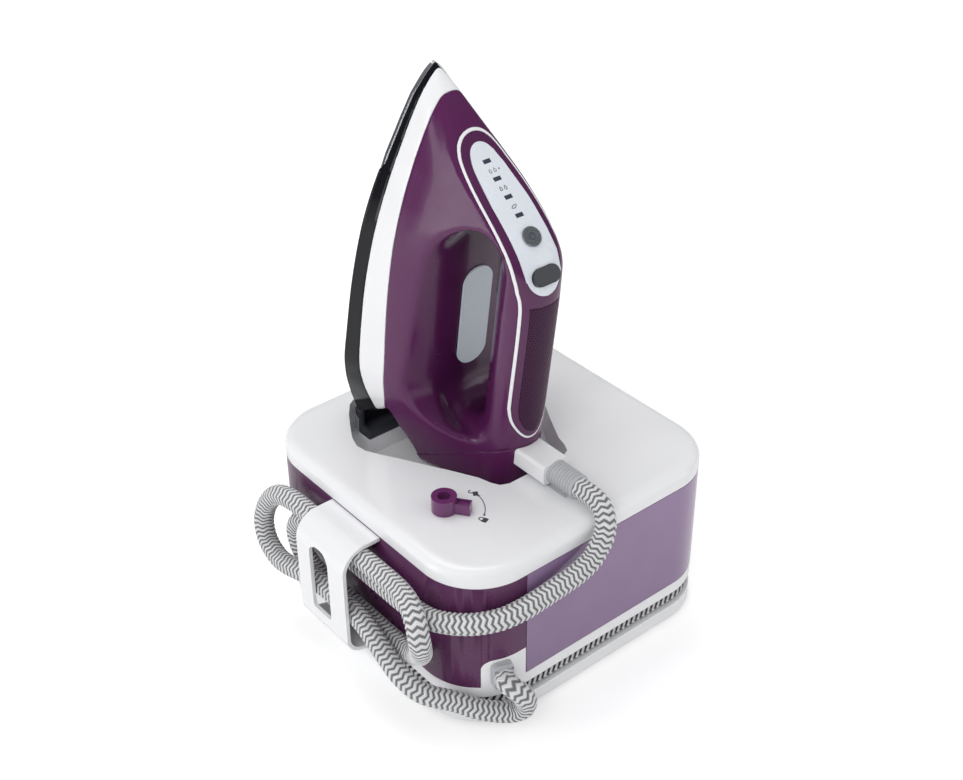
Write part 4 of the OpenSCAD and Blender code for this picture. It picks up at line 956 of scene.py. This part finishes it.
def ribbon(line, width, place, closed=False, height=0.12):
    """Thin raised line."""
    p = np.asarray(line, float)
    n = len(p)
    after = np.roll(p, -1, 0) if closed else np.concatenate([p[1:], p[-1:]])
    before = np.roll(p, 1, 0) if closed else np.concatenate([p[:1], p[:-1]])
    d = after - before
    d /= np.maximum(np.linalg.norm(d, axis=1), 1e-9)[:, None]
    side = np.stack([-d[:, 1], d[:, 0]], 1) * width / 2
    points = [place(*q, level) for level in (height, SUNK)
              for edge in (p + side, p - side) for q in edge]
    faces = []
    for i in range(n if closed else n - 1):
        j = (i + 1) % n
        faces += [(i, j, n + j, n + i), (2 * n + j, 2 * n + i, 3 * n + i, 3 * n + j),
                  (j, i, 2 * n + i, 2 * n + j), (n + i, n + j, 3 * n + j, 3 * n + i)]
    if not closed:
        faces += [(0, n, 3 * n, 2 * n), (n - 1, 3 * n - 1, 4 * n - 1, 2 * n - 1)]
    return points, faces


def patch(outline, place, height=0.12):
    """Thin raised area."""
    n = len(outline)
    points = [place(*p, level) for level in (height, SUNK) for p in outline]
    faces = [tuple(range(n)), tuple(range(2 * n - 1, n - 1, -1))]
    faces += [(i, n + i, n + (i + 1) % n, (i + 1) % n) for i in range(n)]
    return points, faces


def add_marks(name, parts, body):
    points, faces = [], []
    for part_points, part_faces in parts:
        k = len(points)
        points += part_points
        faces += [tuple(i + k for i in face) for face in part_faces]
    mesh_object(name, to_world(points), faces, "mark_grey", body, 40)


def on_lid(cx, cy, degrees):
    c, s = math.cos(math.radians(degrees)), math.sin(math.radians(degrees))
    return lambda u, v, h: (cx + c * u - s * v, cy + s * u + c * v, LID_Z + h)


def padlock(place, opened):
    body = [(-1.9, -2.2), (1.9, -2.2), (2.1, -2.0), (2.1, 0.9), (1.9, 1.1), (-1.9, 1.1),
            (-2.1, 0.9), (-2.1, -2.0)]
    x = 2.5 if opened else 0
    shackle = [(-1.35 + x, 1.0)] + arc((x, 2.2), 1.35, 180, 0, 10)
    shackle.append((1.35 + x, 2.0 if opened else 1.0))
    return [patch(body, place), ribbon(shackle, 0.7, place)]


def lid_marks():
    """An open and a closed padlock, with a two-headed arrow on an arc."""
    marks = padlock(on_lid(-46.6, -40.2, 60), True) + padlock(on_lid(-58.6, -64.0, 20), False)
    place = on_lid(0, 0, 0)
    line = spline(arc((-71, -40.5), 25.2, -7.5, -51, 12), 6)
    marks.append(ribbon(line, 0.55, place))
    for end, behind in ((line[0], line[4]), (line[-1], line[-5])):
        d = (end - behind) / np.linalg.norm(end - behind)
        side = np.array([-d[1], d[0]])
        marks.append(patch([end + d * 1.6, end + side * 1.1, end - side * 1.1], place))
    return marks


def ridge_axes(s):
    """Origin on the ridge at s, direction along it and out of it, in the iron's frame."""
    f = math.atan2(float(ridge(s + 1) - ridge(s - 1)), 2.0)
    return (np.array([0, float(ridge(s)), s]), np.array([0, math.sin(f), math.cos(f)]),
            np.array([0, math.cos(f), -math.sin(f)]))


def on_panel(s, centre=0.0):
    """Place function following the crown round s; v points to the tip."""
    origin, along, out = ridge_axes(s)

    def place(u, v, h):
        x = centre + u
        at = (origin - along * v)[2]
        return from_iron((x, crown_height(x, at), at) + out * h)
    return place


DROP = [(0, 1.6), (0.55, 0.65), (0.85, -0.1), (0.72, -0.75), (0.3, -1.15), (-0.3, -1.15),
        (-0.72, -0.75), (-0.85, -0.1), (-0.55, 0.65)]
LEAF = [(-2.2, -0.6), (-1.3, 0.5), (0.2, 1.0), (1.8, 0.9), (1.2, -0.3), (-0.1, -1.0),
        (-1.5, -0.9)]


def panel_marks():
    """Three rows of two drops, the middle one with a plus sign, and a leaf."""
    height, width = 0.1, 0.34
    marks = []
    for s, plus in ((36.6, False), (43.2, True), (49.4, False)):
        for x in (-1.7, 1.7):
            marks.append(ribbon(DROP, width, on_panel(s, x), True, height))
        if plus:
            for a, b in ((0.7, 0.15), (0.15, 0.7)):
                bar = [(-a, -b), (a, -b), (a, b), (-a, b)]
                marks.append(patch(bar, on_panel(s, 4.9), height))
    marks.append(ribbon(LEAF, width, on_panel(55.8), True, height))
    return marks


def key_marks():
    """Power sign on the round key."""
    origin, along, out = ridge_axes(67.2)
    key_top = 0.92                      # over the ridge

    def place(u, v, h):
        return from_iron(origin + np.array([u, 0, 0]) - along * v + out * (key_top + h))
    return [ribbon(arc((0, 0), 2.0, 120, 420, 20), 0.5, place),
            ribbon([(0, 0.9), (0, 2.6)], 0.5, place)]


add_marks("lid_marks", lid_marks(), "station")
add_marks("panel_marks", panel_marks(), "iron")
add_marks("key_mark", key_marks(), "mode_key")


# ---------------------------------------------------------------- floor, world, lights, camera
def build_floor(count=60, half=6.0, z=-0.0006):
    """Grid of count by count points; metres."""
    floor_paint("floor_pale", (0.95, 0.95, 0.95))
    ticks = np.linspace(-half, half, count)
    faces = [(j * count + i, j * count + i + 1, (j + 1) * count + i + 1, (j + 1) * count + i)
             for j in range(count - 1) for i in range(count - 1)]
    mesh_object("floor", [(x, y, z) for y in ticks for x in ticks], faces,
                         "floor_pale")


def build_world():
    """White to the camera, dim in reflections, soft daylight otherwise."""
    world = scene.world = bpy.data.worlds.new("world")
    world.use_nodes = True
    tree = world.node_tree
    g = Graph(tree)
    up = g.remap(g.separate(g.coords("Generated"))[2], (-0.2, 0.9))
    rays = g.node("ShaderNodeLightPath").outputs

    def sky(background, colour, strength):
        g.fill(background, {"Color": colour, "Strength": strength})
        return background.outputs[0]

    def choose(factor, a, b):
        mixer = g.node("ShaderNodeMixShader")
        g.fill(mixer, {0: factor, 1: a, 2: b})
        return mixer.outputs[0]

    kind = "ShaderNodeBackground"
    daylight = sky(tree.nodes["Background"], g.mix(up, (0.80, 0.80, 0.82), (1.0, 1.0, 1.0)),
                   strength=0.66)
    seen = sky(g.node(kind), (1, 1, 1, 1), strength=1.0)
    mirrored = sky(g.node(kind), g.mix(up, (0.05, 0.05, 0.055), (0.36, 0.36, 0.37)),
                   strength=0.62)
    unseen = choose(rays["Is Glossy Ray"], daylight, mirrored)
    g.link(choose(rays["Is Camera Ray"], unseen, seen),
           tree.nodes["World Output"].inputs["Surface"])


def area_light(name, at, to, size, power):
    """Rectangular light; metres and watts."""
    light = bpy.data.lights.new(name, "AREA")
    light.shape = "RECTANGLE"
    light.size, light.size_y = size
    light.energy = power
    made = add_object(name, light)
    made.location = at
    made.rotation_euler = (Vector(to) - Vector(at)).to_track_quat("-Z", "Y").to_euler()
    return made


def build_camera():
    data = bpy.data.cameras.new("camera")
    camera = scene.camera = add_object("camera", data)
    back = Vector((-0.52637, -0.64146, 0.55809))
    heading, roll = math.radians(-39.372), math.radians(-0.444)
    level = Vector((math.cos(heading), math.sin(heading), 0))
    upright = back.cross(level)
    right = level * math.cos(roll) + upright * math.sin(roll)
    up = -level * math.sin(roll) + upright * math.cos(roll)
    matrix = Matrix((right, up, back)).transposed().to_4x4()
    matrix.translation = Vector(to_world((-508.195, -611.417, 696.131)))
    camera.matrix_world = matrix
    data.sensor_width = 36
    data.lens = 55.49697196
    data.shift_x = -0.0012
    data.clip_start = 0.02
    data.clip_end = 60


build_floor()
build_world()
key_light = area_light("key", at=(-1.3, -0.7, 1.5), to=(0, 0, 0.15), size=(0.9, 0.9), power=8.5)
key_light.visible_glossy = False
area_light("left_strip", at=(-1.7, 0.5, 0.5), to=(0, 0, 0.2), size=(0.5, 1.3), power=6)
area_light("right_fill", at=(1.3, -1.4, 0.6), to=(0, 0, 0.1), size=(0.7, 1.0), power=3.5)
area_light("top", at=(0.2, 0.7, 1.9), to=(0, 0, 0.1), size=(1.2, 1.0), power=8.5)
build_camera()
scene.view_settings.view_transform = "Standard"

# ---------------------------------------------------------------- springs
# Each spring's part is hidden, and a copy with a mesh of its own rides on its body.
# (node, body, joint, axis, seat in metres, share of its length kept)
SPRINGS = [
    ("pump_spring", "station", "piston_stroke", (1, 0, 0), (0.0813, 0.0556, 0.026), 0.48),
    ("tank_valve_spring", "tank", "tank_valve_slide", (1, 0, 0), (0.0992, -0.0284, 0.046),
     0.82),
    ("trigger_spring", "iron", "trigger_squeeze", (0, -COS_LEAN, -SIN_LEAN),
     (0.0145, -0.02546, 0.25844), 0.82)]
for name, body, joint, axis, seat, keep in SPRINGS:
    coil = add_object(name + "_coil", nodes[name].data.copy())
    coil.matrix_world = nodes[name].matrix_world.copy()
    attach(coil, body)
    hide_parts(name)
    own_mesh(coil)
